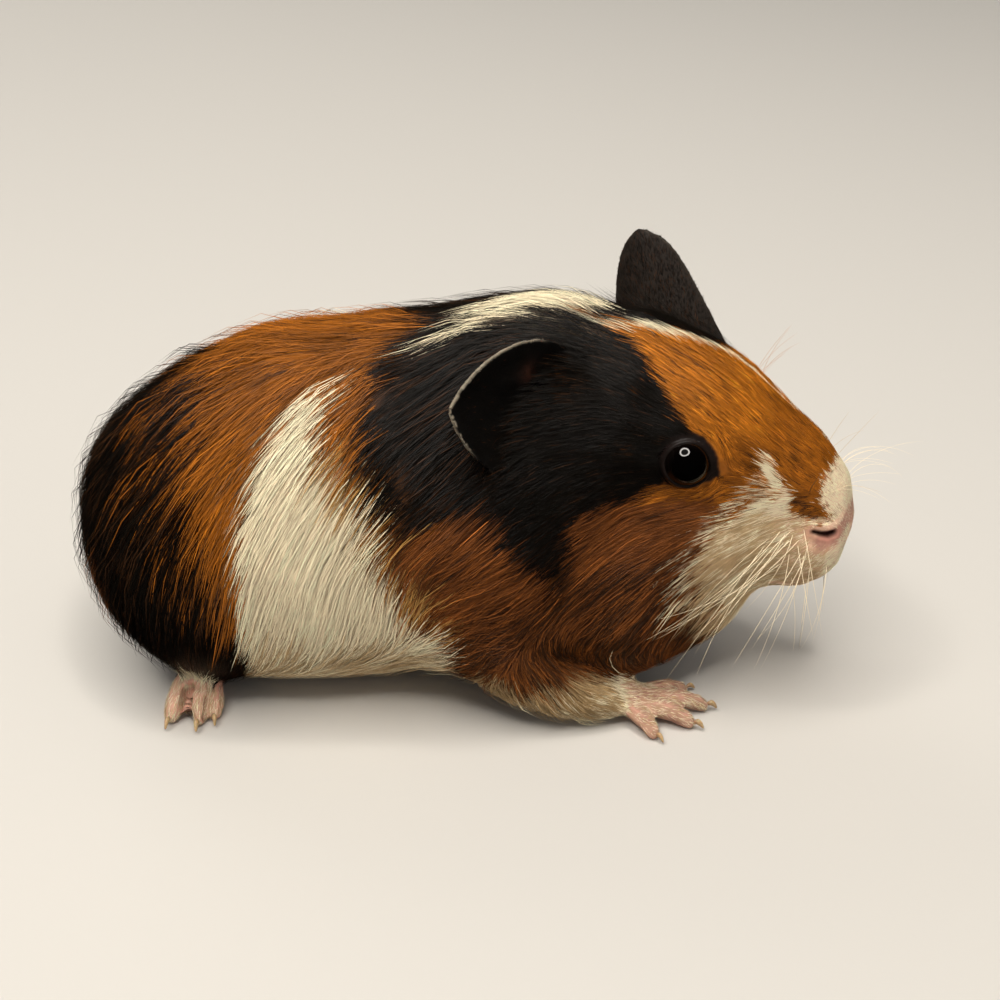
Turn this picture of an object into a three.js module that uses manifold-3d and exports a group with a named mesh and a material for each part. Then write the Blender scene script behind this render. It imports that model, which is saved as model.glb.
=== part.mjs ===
// A young short-haired guinea pig at life size, crouched on the floor with its head turned a
// little to its right. Every form is taken out to the tips of the coat. Millimetres, +Z up, the
// animal faces +X; the origin is on the floor under the middle of the animal's box.
import * as THREE from "three";
import { mergeVertices } from "three/addons/utils/BufferGeometryUtils.js";
import Module from "manifold-3d";

const wasm = await Module();
wasm.setup();

// ---------------------------------------------------------------- driving dimensions
const GAP = 0.3; // between neighbouring pieces
const FLOOR_SINK = 0.3; // how far the soles are pressed flat
const WELD = 1e-4;

const BARREL = { at: [-26, 1, 33.5], radii: [46, 35.5, 34] };
const HEAD_CENTRE = [22, -3, 50]; // middle of the skull, between the ears
const HEAD_TURN = THREE.MathUtils.degToRad(-16); // yaw, to the animal's right
const BODY_BLEND = 7; // how softly the big forms of the body run together
const FACE_BLEND = 4;

const EYE_RADIUS = 4.5;
const EYE = { forward: 14.8, side: 14.2, up: -0.4 };
const EAR_THICKNESS = 1.3;

// The cuts between head, neck and trunk: one tilt, two places along it.
const NECK_PLANE = new THREE.Vector3(0.88, -0.06, 0.47).normalize();
const HEAD_CUT = 25;
const SHOULDER_CUT = 11;

const TORSO_RINGS = 34;
const TORSO_SEGMENTS = 24;

// The coat's and skin's colours, by region.
const matte = (color, roughness) => new THREE.MeshStandardMaterial({ color, roughness });
const GINGER = matte(0xa85a1c, 0.7);
const DARK_COAT = matte(0x1c1814, 0.65);
const CREAM = matte(0xd9c8a4, 0.7);
const EAR_SKIN = matte(0x2b2622, 0.55);
const FOOT_SKIN = matte(0xd8a48e, 0.55);
const EYE_BLACK = matte(0x060505, 0.05);
const CLAW_HORN = matte(0xc9a77c, 0.4);

// The animal's right is -Y, its left is +Y.
const SIDES = { right: -1, left: 1 };
const MIDDLE_Y = 0;
const acrossFrom = (side, y) => MIDDLE_Y + SIDES[side] * y;

// Ears: where the middle of the root and of the rim stand, the way across the flap, half its
// width, how much it narrows to the rim, how blunt the rim is, how much the root draws in, how deep
// the flap is cupped and which way the hollow faces.
const EARS = {
  right: {
    root: [9.3, -18.3, 58.4], rim: [-7.8, -30.9, 63.8], across: [0.38, 0.47, 0.8],
    half: 15, narrowing: 0.42, blunt: 4, tuck: 0.24, cup: 2.8, opens: 1,
  },
  left: {
    root: [31.6, 11, 57.4], rim: [25.9, 17.9, 78.8], across: [0.93, -0.36, -0.3],
    half: 10.7, narrowing: 0.55, blunt: 8, tuck: 0, cup: 2.6, opens: -1,
  },
};

// Feet stand on the floor at `at`, turned outwards; toes are listed from the outer one in, with
// how far each spreads outwards, where it leaves the foot, where its pad ends and how thick it is.
const FOREFOOT = {
  stand: { right: { at: [21, -25], turn: 10 }, left: { at: [20, 24], turn: 14 } },
  sole: [[-5, 5.2, 3.6, 3.6], [0, 4.2, 4.2, 3], [6, 2.6, 5, 2.3]],
  toes: [
    { spread: 42, root: 5, reach: 10.5, thick: 1.8 },
    { spread: 11.5, root: 6, reach: 14, thick: 1.95 },
    { spread: -10.5, root: 6, reach: 15.9, thick: 1.95 },
    { spread: -34, root: 5.5, reach: 14.2, thick: 1.65 },
  ],
  knuckle: 3,
  claw: 1.3,
};
const HINDFOOT = {
  stand: { right: { at: [-55, -5], turn: 92 }, left: { at: [-60, 11], turn: 42 } },
  sole: [[-2, 2.7, 3, 3], [8, 3.6, 3.6, 3.4], [17, 4.2, 4.4, 3]],
  toes: [
    { spread: 10, root: 15, reach: 23.6, thick: 2.1 },
    { spread: -2, root: 15, reach: 23.8, thick: 2.2 },
    { spread: -9, root: 15, reach: 22.2, thick: 2 },
  ],
  knuckle: 4.6,
  claw: 1.7,
};

// The forearm slopes down from the elbow, which the side carries, to the wrist on the floor.
const FOREARM = {
  right: [[-10, -24.5, 20, 7.2], [-3.3, -27, 15, 6.6], [7, -28.4, 8.4, 5.4], [18, -27.8, 4.6, 4.7]],
  left: [[-10, 24.5, 20, 7], [-3, 26, 14.6, 6.4], [7, 26, 8.4, 5.4], [17, 24.6, 4.6, 4.4]],
};

// ---------------------------------------------------------------- the head's own frame
const forwardAxis = new THREE.Vector3(Math.cos(HEAD_TURN), Math.sin(HEAD_TURN), 0);
const leftAxis = new THREE.Vector3(-Math.sin(HEAD_TURN), Math.cos(HEAD_TURN), 0);
const UP = new THREE.Vector3(0, 0, 1);

function onHead(forward, left, up) {
  return new THREE.Vector3(...HEAD_CENTRE)
    .addScaledVector(forwardAxis, forward)
    .addScaledVector(leftAxis, left)
    .addScaledVector(UP, up);
}

// ---------------------------------------------------------------- fields of smooth forms
// Each form gives the signed distance from its surface, negative inside.
function egg(centre, radii, turn = 0, nod = 0) {
  const unturn = new THREE.Quaternion()
    .setFromEuler(new THREE.Euler(0, nod, turn, "ZYX"))
    .invert();
  const p = new THREE.Vector3();
  return (q) => {
    p.copy(q).sub(centre).applyQuaternion(unturn);
    const near = Math.hypot(p.x / radii[0], p.y / radii[1], p.z / radii[2]);
    const slope = Math.hypot(p.x / radii[0] ** 2, p.y / radii[1] ** 2, p.z / radii[2] ** 2);
    return slope < 1e-9 ? -Math.min(...radii) : (near * (near - 1)) / slope;
  };
}

const trunkEgg = (at, radii) => egg(new THREE.Vector3(...at), radii);
const headEgg = (at, radii, nodDegrees = 0) =>
  egg(onHead(...at), radii, HEAD_TURN, THREE.MathUtils.degToRad(nodDegrees));
const pair = (make) => [make(SIDES.right), make(SIDES.left)];

function blended(fields, softness) {
  return (p) =>
    fields
      .map((field) => field(p))
      .reduce((a, b) => {
        const overlap = Math.max(softness - Math.abs(a - b), 0) / softness;
        return Math.min(a, b) - (overlap * overlap * softness) / 4;
      });
}

const trunkField = blended(
  [
    trunkEgg(BARREL.at, BARREL.radii),
    ...pair((s) => trunkEgg([-31, s * 12 + 1, 17], [25, 15, 16.7])), // belly
    trunkEgg([-50, 1, 29], [30.5, 30, 28]), // rump
    trunkEgg([-2, -0.5, 34], [28, 30, 32]), // shoulders
    trunkEgg([7, -1, 51], [23, 20, 23]), // nape
    trunkEgg([18, -4, 23], [19, 19, 20]), // chest
    ...pair((s) => trunkEgg([22, s * 15 - 2, 17], [12.5, 10.5, 13])), // breast
    ...pair((s) => trunkEgg([-52, s * 19 + 1, 23], [19, 15, 17])), // haunches
    ...pair((s) => trunkEgg([-2, s * 18 - 1, 22], [15, 12, 16])), // upper arms
  ],
  BODY_BLEND,
);

const headField = blended(
  [
    headEgg([1, 0, 0], [22, 17.5, 20.5], 10), // skull
    headEgg([14.5, 0, 0.5], [16.5, 16.4, 14.2], 28), // brow
    headEgg([27, 0, -7], [15, 10.5, 12.3], 34), // bridge of the nose
    headEgg([37.4, 0, -14], [6.6, 6.8, 8.6], 8), // nose
    ...pair((s) => headEgg([32.5, s * 4.6, -18.5], [10, 6.4, 7.6], 22)), // whisker pads
    headEgg([28.6, 0, -23.8], [9.6, 7.6, 4.8], 18), // lower jaw
    ...pair((s) => headEgg([13, s * 6, -18], [17, 11.5, 15], 14)), // cheeks
    headEgg([10, 0, -30], [17, 15, 16]), // throat
  ],
  FACE_BLEND,
);

const bodyField = blended([trunkField, headField], BODY_BLEND);

// ---------------------------------------------------------------- closed solids
function solidOf(geometry) {
  geometry.deleteAttribute("normal");
  geometry.deleteAttribute("uv");
  const merged = mergeVertices(geometry, WELD);
  return new wasm.Manifold(
    new wasm.Mesh({
      numProp: 3,
      vertProperties: new Float32Array(merged.attributes.position.array),
      triVerts: new Uint32Array(merged.index.array),
    }),
  );
}

// A closed skin over rings of points, all with the same count, and a tip at each end.
function skinOver(rings, firstTip, lastTip) {
  const count = rings[0].length;
  const positions = [firstTip, ...rings.flat(), lastTip].flatMap((p) => p.toArray());
  const at = (ring, i) => 1 + ring * count + (i % count);
  const last = rings.length - 1;
  const triangles = [];
  for (let i = 0; i < count; i++) {
    triangles.push(0, at(0, i + 1), at(0, i));
    for (let ring = 0; ring < last; ring++) {
      const [a, b, c, d] = [at(ring, i), at(ring, i + 1), at(ring + 1, i + 1), at(ring + 1, i)];
      triangles.push(a, b, c, a, c, d);
    }
    triangles.push(at(last, i), at(last, i + 1), 1 + count * rings.length);
  }
  const geometry = new THREE.BufferGeometry();
  geometry.setAttribute("position", new THREE.Float32BufferAttribute(positions, 3));
  geometry.setIndex(triangles);
  return solidOf(geometry);
}

// A round limb along [x, y, z, half width, half height] stations, swollen by `extra`.
function limb(stations, extra = 0, rings = 6, segments = 10) {
  const path = new THREE.CatmullRomCurve3(stations.map(([x, y, z]) => new THREE.Vector3(x, y, z)));
  const girth = new THREE.CatmullRomCurve3(
    stations.map(([, , , wide, high = wide]) => new THREE.Vector3(wide, high, 0)),
  );
  const cap = (t) => {
    const end = girth.getPoint(t);
    return Math.min(end.x, end.y) + extra;
  };
  const [first, last] = [cap(0), cap(1)];
  const length = path.getLength();
  const whole = first + length + last;
  const circles = [];
  for (let i = 0; i < rings; i++) {
    const eased = (1 - Math.cos((Math.PI * (i + 0.75)) / (rings + 0.5))) / 2;
    const along = eased * whole - first;
    const t = THREE.MathUtils.clamp(along / length, 0, 1);
    const tangent = path.getTangentAt(t);
    const side = new THREE.Vector3().crossVectors(UP, tangent).normalize();
    const over = new THREE.Vector3().crossVectors(tangent, side);
    const beyond = along < 0 ? along / first : Math.max(along - length, 0) / last;
    const round = Math.sqrt(1 - beyond * beyond);
    const centre = path.getPointAt(t).addScaledVector(tangent, along - t * length);
    const size = girth.getPoint(path.getUtoTmapping(t));
    circles.push(
      Array.from({ length: segments }, (_, j) => {
        const angle = (2 * Math.PI * j) / segments;
        return centre
          .clone()
          .addScaledVector(side, (size.x + extra) * round * Math.cos(angle))
          .addScaledVector(over, (size.y + extra) * round * Math.sin(angle));
      }),
    );
  }
  return skinOver(
    circles,
    path.getPointAt(0).addScaledVector(path.getTangentAt(0), -first),
    path.getPointAt(1).addScaledVector(path.getTangentAt(1), last),
  );
}

function ball(centre, radii, extra = 0, turn = 0, nod = 0) {
  const geometry = new THREE.SphereGeometry(1, 18, 10);
  geometry.scale(...radii.map((r) => r + extra));
  geometry.rotateY(nod);
  geometry.rotateZ(turn);
  geometry.translate(...centre);
  return solidOf(geometry);
}

const joined = (solids) => solids.reduce((a, b) => a.add(b));
const without = (solid, others) => others.reduce((rest, other) => rest.subtract(other), solid);
const aboveFloor = (solid) => solid.trimByPlane([0, 0, 1], 0);

// ---------------------------------------------------------------- trunk, neck and head
// How far it is from a point inside the body to its surface, swollen by `extra`.
function reach(from, direction, extra) {
  const p = new THREE.Vector3();
  const inside = (r) => bodyField(p.copy(from).addScaledVector(direction, r)) < extra;
  const stride = 3;
  let near = 90;
  while (near > 0 && !inside(near)) near -= stride;
  let far = near + stride;
  for (let i = 0; i < 14; i++) {
    const middle = (near + far) / 2;
    if (inside(middle)) near = middle;
    else far = middle;
  }
  return near;
}

// The middle of the body's rings, from inside the rump to inside the nose.
const spine = new THREE.CatmullRomCurve3([
  new THREE.Vector3(-60, 1, 29),
  new THREE.Vector3(-30, 1, 33),
  new THREE.Vector3(0, 0, 37),
  onHead(0, 0, -9),
  onHead(14, 0, -12),
  onHead(27, 0, -15),
  onHead(36, 0, -15),
]);

function body(extra) {
  const backwards = new THREE.Vector3(-1, 0, 0);
  const rumpReach = reach(spine.getPoint(0), backwards, extra);
  const noseReach = reach(spine.getPoint(1), forwardAxis, extra);
  const length = spine.getLength();
  const whole = rumpReach + length + noseReach;
  const crowding = 0.55; // how much the rings draw together towards rump and nose
  const rings = [];
  for (let i = 1; i <= TORSO_RINGS; i++) {
    const even = i / (TORSO_RINGS + 1);
    const eased = (1 - Math.cos(Math.PI * even)) / 2;
    const along = THREE.MathUtils.lerp(even, eased, crowding) * whole - rumpReach;
    const t = THREE.MathUtils.clamp(along / length, 0, 1);
    const level = spine.getTangentAt(t).setZ(0).normalize();
    const side = new THREE.Vector3().crossVectors(UP, level);
    const centre = spine.getPointAt(t).addScaledVector(level, along - t * length);
    rings.push(
      Array.from({ length: TORSO_SEGMENTS }, (_, j) => {
        const angle = (2 * Math.PI * j) / TORSO_SEGMENTS;
        const way = side.clone().multiplyScalar(Math.cos(angle)).addScaledVector(UP, Math.sin(angle));
        return centre.clone().addScaledVector(way, reach(centre, way, extra));
      }),
    );
  }
  return aboveFloor(
    skinOver(
      rings,
      spine.getPoint(0).addScaledVector(backwards, rumpReach),
      spine.getPoint(1).addScaledVector(forwardAxis, noseReach),
    ),
  );
}

// ---------------------------------------------------------------- ears
function ear({ root, rim, across, half, narrowing, blunt, tuck, cup, opens }) {
  const start = new THREE.Vector3(...root);
  const along = new THREE.Vector3(...rim).sub(start);
  const wide = new THREE.Vector3(...across);
  wide.addScaledVector(along, -wide.dot(along) / along.lengthSq()).normalize();
  const hollow = new THREE.Vector3().crossVectors(wide, along).normalize().multiplyScalar(opens);
  const columns = 8;
  const rows = 9;
  const buried = -0.25; // where the flap starts, inside the head
  const point = (v, u, face) => {
    const drawnIn = 1 - tuck * (1 - v) ** 4;
    const width = half * (1 - narrowing * v) * Math.sqrt(1 - v ** blunt) * drawnIn;
    const depth = cup * (u * u - 1) * (1 - v / 2) + (face * EAR_THICKNESS * (1 - 0.5 * u ** 4)) / 2;
    return start
      .clone()
      .addScaledVector(along, v * (1 - 0.04 * u * u))
      .addScaledVector(wide, width * u)
      .addScaledVector(hollow, depth);
  };
  const rings = Array.from({ length: rows }, (_, row) => {
    const v = THREE.MathUtils.lerp(buried, 0.985, Math.sin(((row + 0.4) / rows) * (Math.PI / 2)));
    const u = Array.from({ length: columns + 1 }, (_, i) => Math.sin((i / columns - 0.5) * Math.PI));
    return [...u.map((x) => point(v, x, opens)), ...u.reverse().map((x) => point(v, x, -opens))];
  });
  return skinOver(rings, point(buried, 0, 0), point(1, 0, 0));
}

// ---------------------------------------------------------------- feet and claws
// A point on a foot's own floor plan: `ahead` of its heel or wrist along a bearing.
function planted({ at, turn }, side, spread, ahead, z) {
  const bearing = THREE.MathUtils.degToRad(turn + spread) * SIDES[side];
  return [at[0] + ahead * Math.cos(bearing), at[1] + ahead * Math.sin(bearing), z];
}

function foot(plan, side, extra = 0) {
  const stand = plan.stand[side];
  const sole = limb(
    plan.sole.map(([ahead, z, wide, high]) => [...planted(stand, side, 0, ahead, z), wide, high]),
    extra,
  );
  const toes = plan.toes.map(({ spread, root, reach: end, thick }) => {
    const station = (share, z, fullness) => [
      ...planted(stand, side, spread, root + (end - root) * share, z),
      thick * fullness,
    ];
    return limb(
      [
        station(-0.1, plan.knuckle, 1),
        station(0.4, plan.knuckle * 0.92, 1),
        station(0.78, thick + 0.7, 1),
        station(1, thick * 0.9 - FLOOR_SINK, 0.9),
      ],
      extra,
      6,
      6,
    );
  });
  return joined([sole, ...toes]);
}

function claws(plan, side) {
  const stand = plan.stand[side];
  return plan.toes.map(({ spread, reach: end, thick }) => {
    const station = (ahead, z, radius) => [
      ...planted(stand, side, spread, end + ahead, z),
      radius * 0.8,
      radius,
    ];
    const height = thick * 0.95;
    return limb(
      [
        station(-0.2, height, thick * 0.38),
        station(thick * 0.9 + plan.claw * 0.4, height, thick * 0.33),
        station(thick * 0.9 + plan.claw, height * 0.35, thick * 0.14),
      ],
      0,
      4,
      5,
    );
  });
}

// ---------------------------------------------------------------- the whole animal, parted
const model = new THREE.Group();

function place(name, solid, material) {
  const m = solid.getMesh();
  const positions = Array.from({ length: m.numVert }, (_, i) =>
    Array.from(m.vertProperties.subarray(i * m.numProp, i * m.numProp + 3)),
  ).flat();
  const geometry = new THREE.BufferGeometry();
  geometry.setAttribute("position", new THREE.Float32BufferAttribute(positions, 3));
  geometry.setIndex([...m.triVerts]);
  const mesh = new THREE.Mesh(geometry, material.clone());
  mesh.name = name;
  model.add(mesh);
}

// What belongs to a limb: its own round of the body, and the limb that leaves it.
const haunch = (side, extra) =>
  ball([-51, acrossFrom(side, 25), 21], [21, 17, 21], extra);
const upperArm = (side, extra) =>
  ball([-3, acrossFrom(side, 26), 24], [13, 11, 17], extra, 0, THREE.MathUtils.degToRad(-18));
const forearm = (side, extra) => aboveFloor(limb(FOREARM[side], extra, 8, 12));

const whole = body(0);
const around = body(GAP);
const limbsAround = [];
const eyesAround = [];

for (const side of Object.keys(SIDES)) {
  place(`foreleg_${side}`, whole.intersect(upperArm(side, 0)).add(forearm(side, 0)), GINGER);
  place(`hindleg_${side}`, whole.intersect(haunch(side, 0)), DARK_COAT);
  limbsAround.push(upperArm(side, GAP), forearm(side, GAP), haunch(side, GAP));

  for (const [kind, plan, above] of [
    ["fore", FOREFOOT, [around, forearm(side, GAP)]],
    ["hind", HINDFOOT, [around]],
  ]) {
    place(`${kind}foot_${side}`, aboveFloor(without(foot(plan, side), above)), FOOT_SKIN);
    const sheath = foot(plan, side, GAP);
    claws(plan, side).forEach((claw, i) => {
      place(`${kind}claw_${side}_${i + 1}`, aboveFloor(claw.subtract(sheath)), CLAW_HORN);
    });
  }

  const eyeAt = onHead(EYE.forward, SIDES[side] * EYE.side, EYE.up).toArray();
  place(`eye_${side}`, ball(eyeAt, Array(3).fill(EYE_RADIUS)), EYE_BLACK);
  eyesAround.push(ball(eyeAt, Array(3).fill(EYE_RADIUS), GAP));
  place(`ear_${side}`, ear(EARS[side]).subtract(around), EAR_SKIN);
}

const rest = without(whole, limbsAround);
const ahead = NECK_PLANE.toArray();
const behind = NECK_PLANE.clone().negate().toArray();
const aheadOf = (solid, cut) => solid.trimByPlane(ahead, cut + GAP / 2);
const behindOf = (solid, cut) => solid.trimByPlane(behind, -cut + GAP / 2);
place("head", without(aheadOf(rest, HEAD_CUT), eyesAround), GINGER);
place("neck", behindOf(aheadOf(rest, SHOULDER_CUT), HEAD_CUT), DARK_COAT);
place("trunk", behindOf(rest, SHOULDER_CUT), CREAM);

const box = new THREE.Box3().setFromObject(model);
const middle = box.getCenter(new THREE.Vector3());
for (const mesh of model.children) {
  mesh.geometry.translate(-middle.x, -middle.y, -box.min.z);
}

export default model;
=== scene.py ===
"""A young short-haired guinea pig, life size: one skin under a combed coat of mesh hairs, with
lidded eyes, a bare nose, ears and feet, horn claws and whiskers, on a pale studio floor.

Lengths inside the shaping code are millimetres; Blender's own are metres."""

import math

import bpy
import numpy as np
from bpy.props import FloatProperty, FloatVectorProperty, IntProperty, PointerProperty
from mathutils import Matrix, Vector
from mathutils.bvhtree import BVHTree
from mathutils.kdtree import KDTree


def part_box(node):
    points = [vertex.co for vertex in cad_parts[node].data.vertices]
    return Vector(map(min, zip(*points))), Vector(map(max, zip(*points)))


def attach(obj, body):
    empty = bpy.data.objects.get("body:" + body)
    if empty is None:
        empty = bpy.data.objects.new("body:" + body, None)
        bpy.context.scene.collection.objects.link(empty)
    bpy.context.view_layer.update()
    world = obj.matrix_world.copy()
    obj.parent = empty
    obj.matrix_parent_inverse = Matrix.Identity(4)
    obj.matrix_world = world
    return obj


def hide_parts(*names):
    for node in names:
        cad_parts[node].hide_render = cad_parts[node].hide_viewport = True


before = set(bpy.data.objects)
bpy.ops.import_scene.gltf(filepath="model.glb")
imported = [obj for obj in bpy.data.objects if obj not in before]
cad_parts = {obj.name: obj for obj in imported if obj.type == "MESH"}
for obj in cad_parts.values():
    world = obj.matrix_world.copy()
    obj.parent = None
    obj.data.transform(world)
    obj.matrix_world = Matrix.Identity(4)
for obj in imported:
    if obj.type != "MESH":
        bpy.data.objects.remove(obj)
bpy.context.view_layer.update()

bl_info = {
    "name": "Guinea pig",
    "version": (1, 0, 0),
    "blender": (4, 5, 0),
    "location": "3D View > Sidebar > Guinea pig",
    "description": "Builds a guinea pig's skin, coat, eyes, claws and whiskers, and its studio",
    "category": "Add Mesh",
}

MM = 0.001

# The head's own frame: forward to the nose, left and up, from the middle of the skull.
HEAD_TURN = math.radians(-16)
HEAD_AXES = np.array(
    (
        (math.cos(HEAD_TURN), math.sin(HEAD_TURN), 0.0),
        (-math.sin(HEAD_TURN), math.cos(HEAD_TURN), 0.0),
        (0.0, 0.0, 1.0),
    )
)
EYE_RADIUS = 4.5
EYE_PLACE = (14.8, 14.2, -0.4)  # forward, to the side, up
EYE_LOOK = (0.30, 0.93, 0.20)
LID_OPENING = 57.0  # degrees from the pupil to the lids' edge
EYES = np.array([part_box(name) for name in ("eye_right", "eye_left")]).mean((0, 1)) / MM
HEAD_CENTRE = EYES - HEAD_AXES[0] * EYE_PLACE[0] - HEAD_AXES[2] * EYE_PLACE[2]
# The body's own origin, on the floor under its middle.
BODY_ORIGIN = HEAD_CENTRE - (30.32, -3.06, 50.0)
HEAD_AXIS_UP = -6.0  # height of the head's long axis over its centre
HEAD_GIRTH = 0.36  # millimetres along the surface for a degree round the head's axis
TRUNK_AXIS = 30.0  # height of the trunk's long axis
TRUNK_GIRTH = 0.6

RIGHT, LEFT = -1, 1

# Ears, from the body's origin: where the middle of the root and of the rim stand, the way across
# the flap, half its width, how much it narrows to the rim, how blunt the rim is, how much the root
# draws in, how deep the flap is cupped, which way the hollow faces, and how pale the rim is.
EARS = {
    "ear_right": {
        "root": (17.62, -18.36, 58.4), "rim": (0.52, -30.96, 63.8), "across": (0.38, 0.47, 0.8),
        "half": 15.0, "narrowing": 0.42, "blunt": 4, "tuck": 0.24, "cup": 2.8, "opens": 1,
        "pale": 1.0,
    },
    "ear_left": {
        "root": (39.92, 10.94, 57.4), "rim": (34.22, 17.84, 78.8), "across": (0.93, -0.36, -0.3),
        "half": 10.7, "narrowing": 0.55, "blunt": 8, "tuck": 0.0, "cup": 2.6, "opens": -1,
        "pale": 0.08,
    },
}

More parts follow.
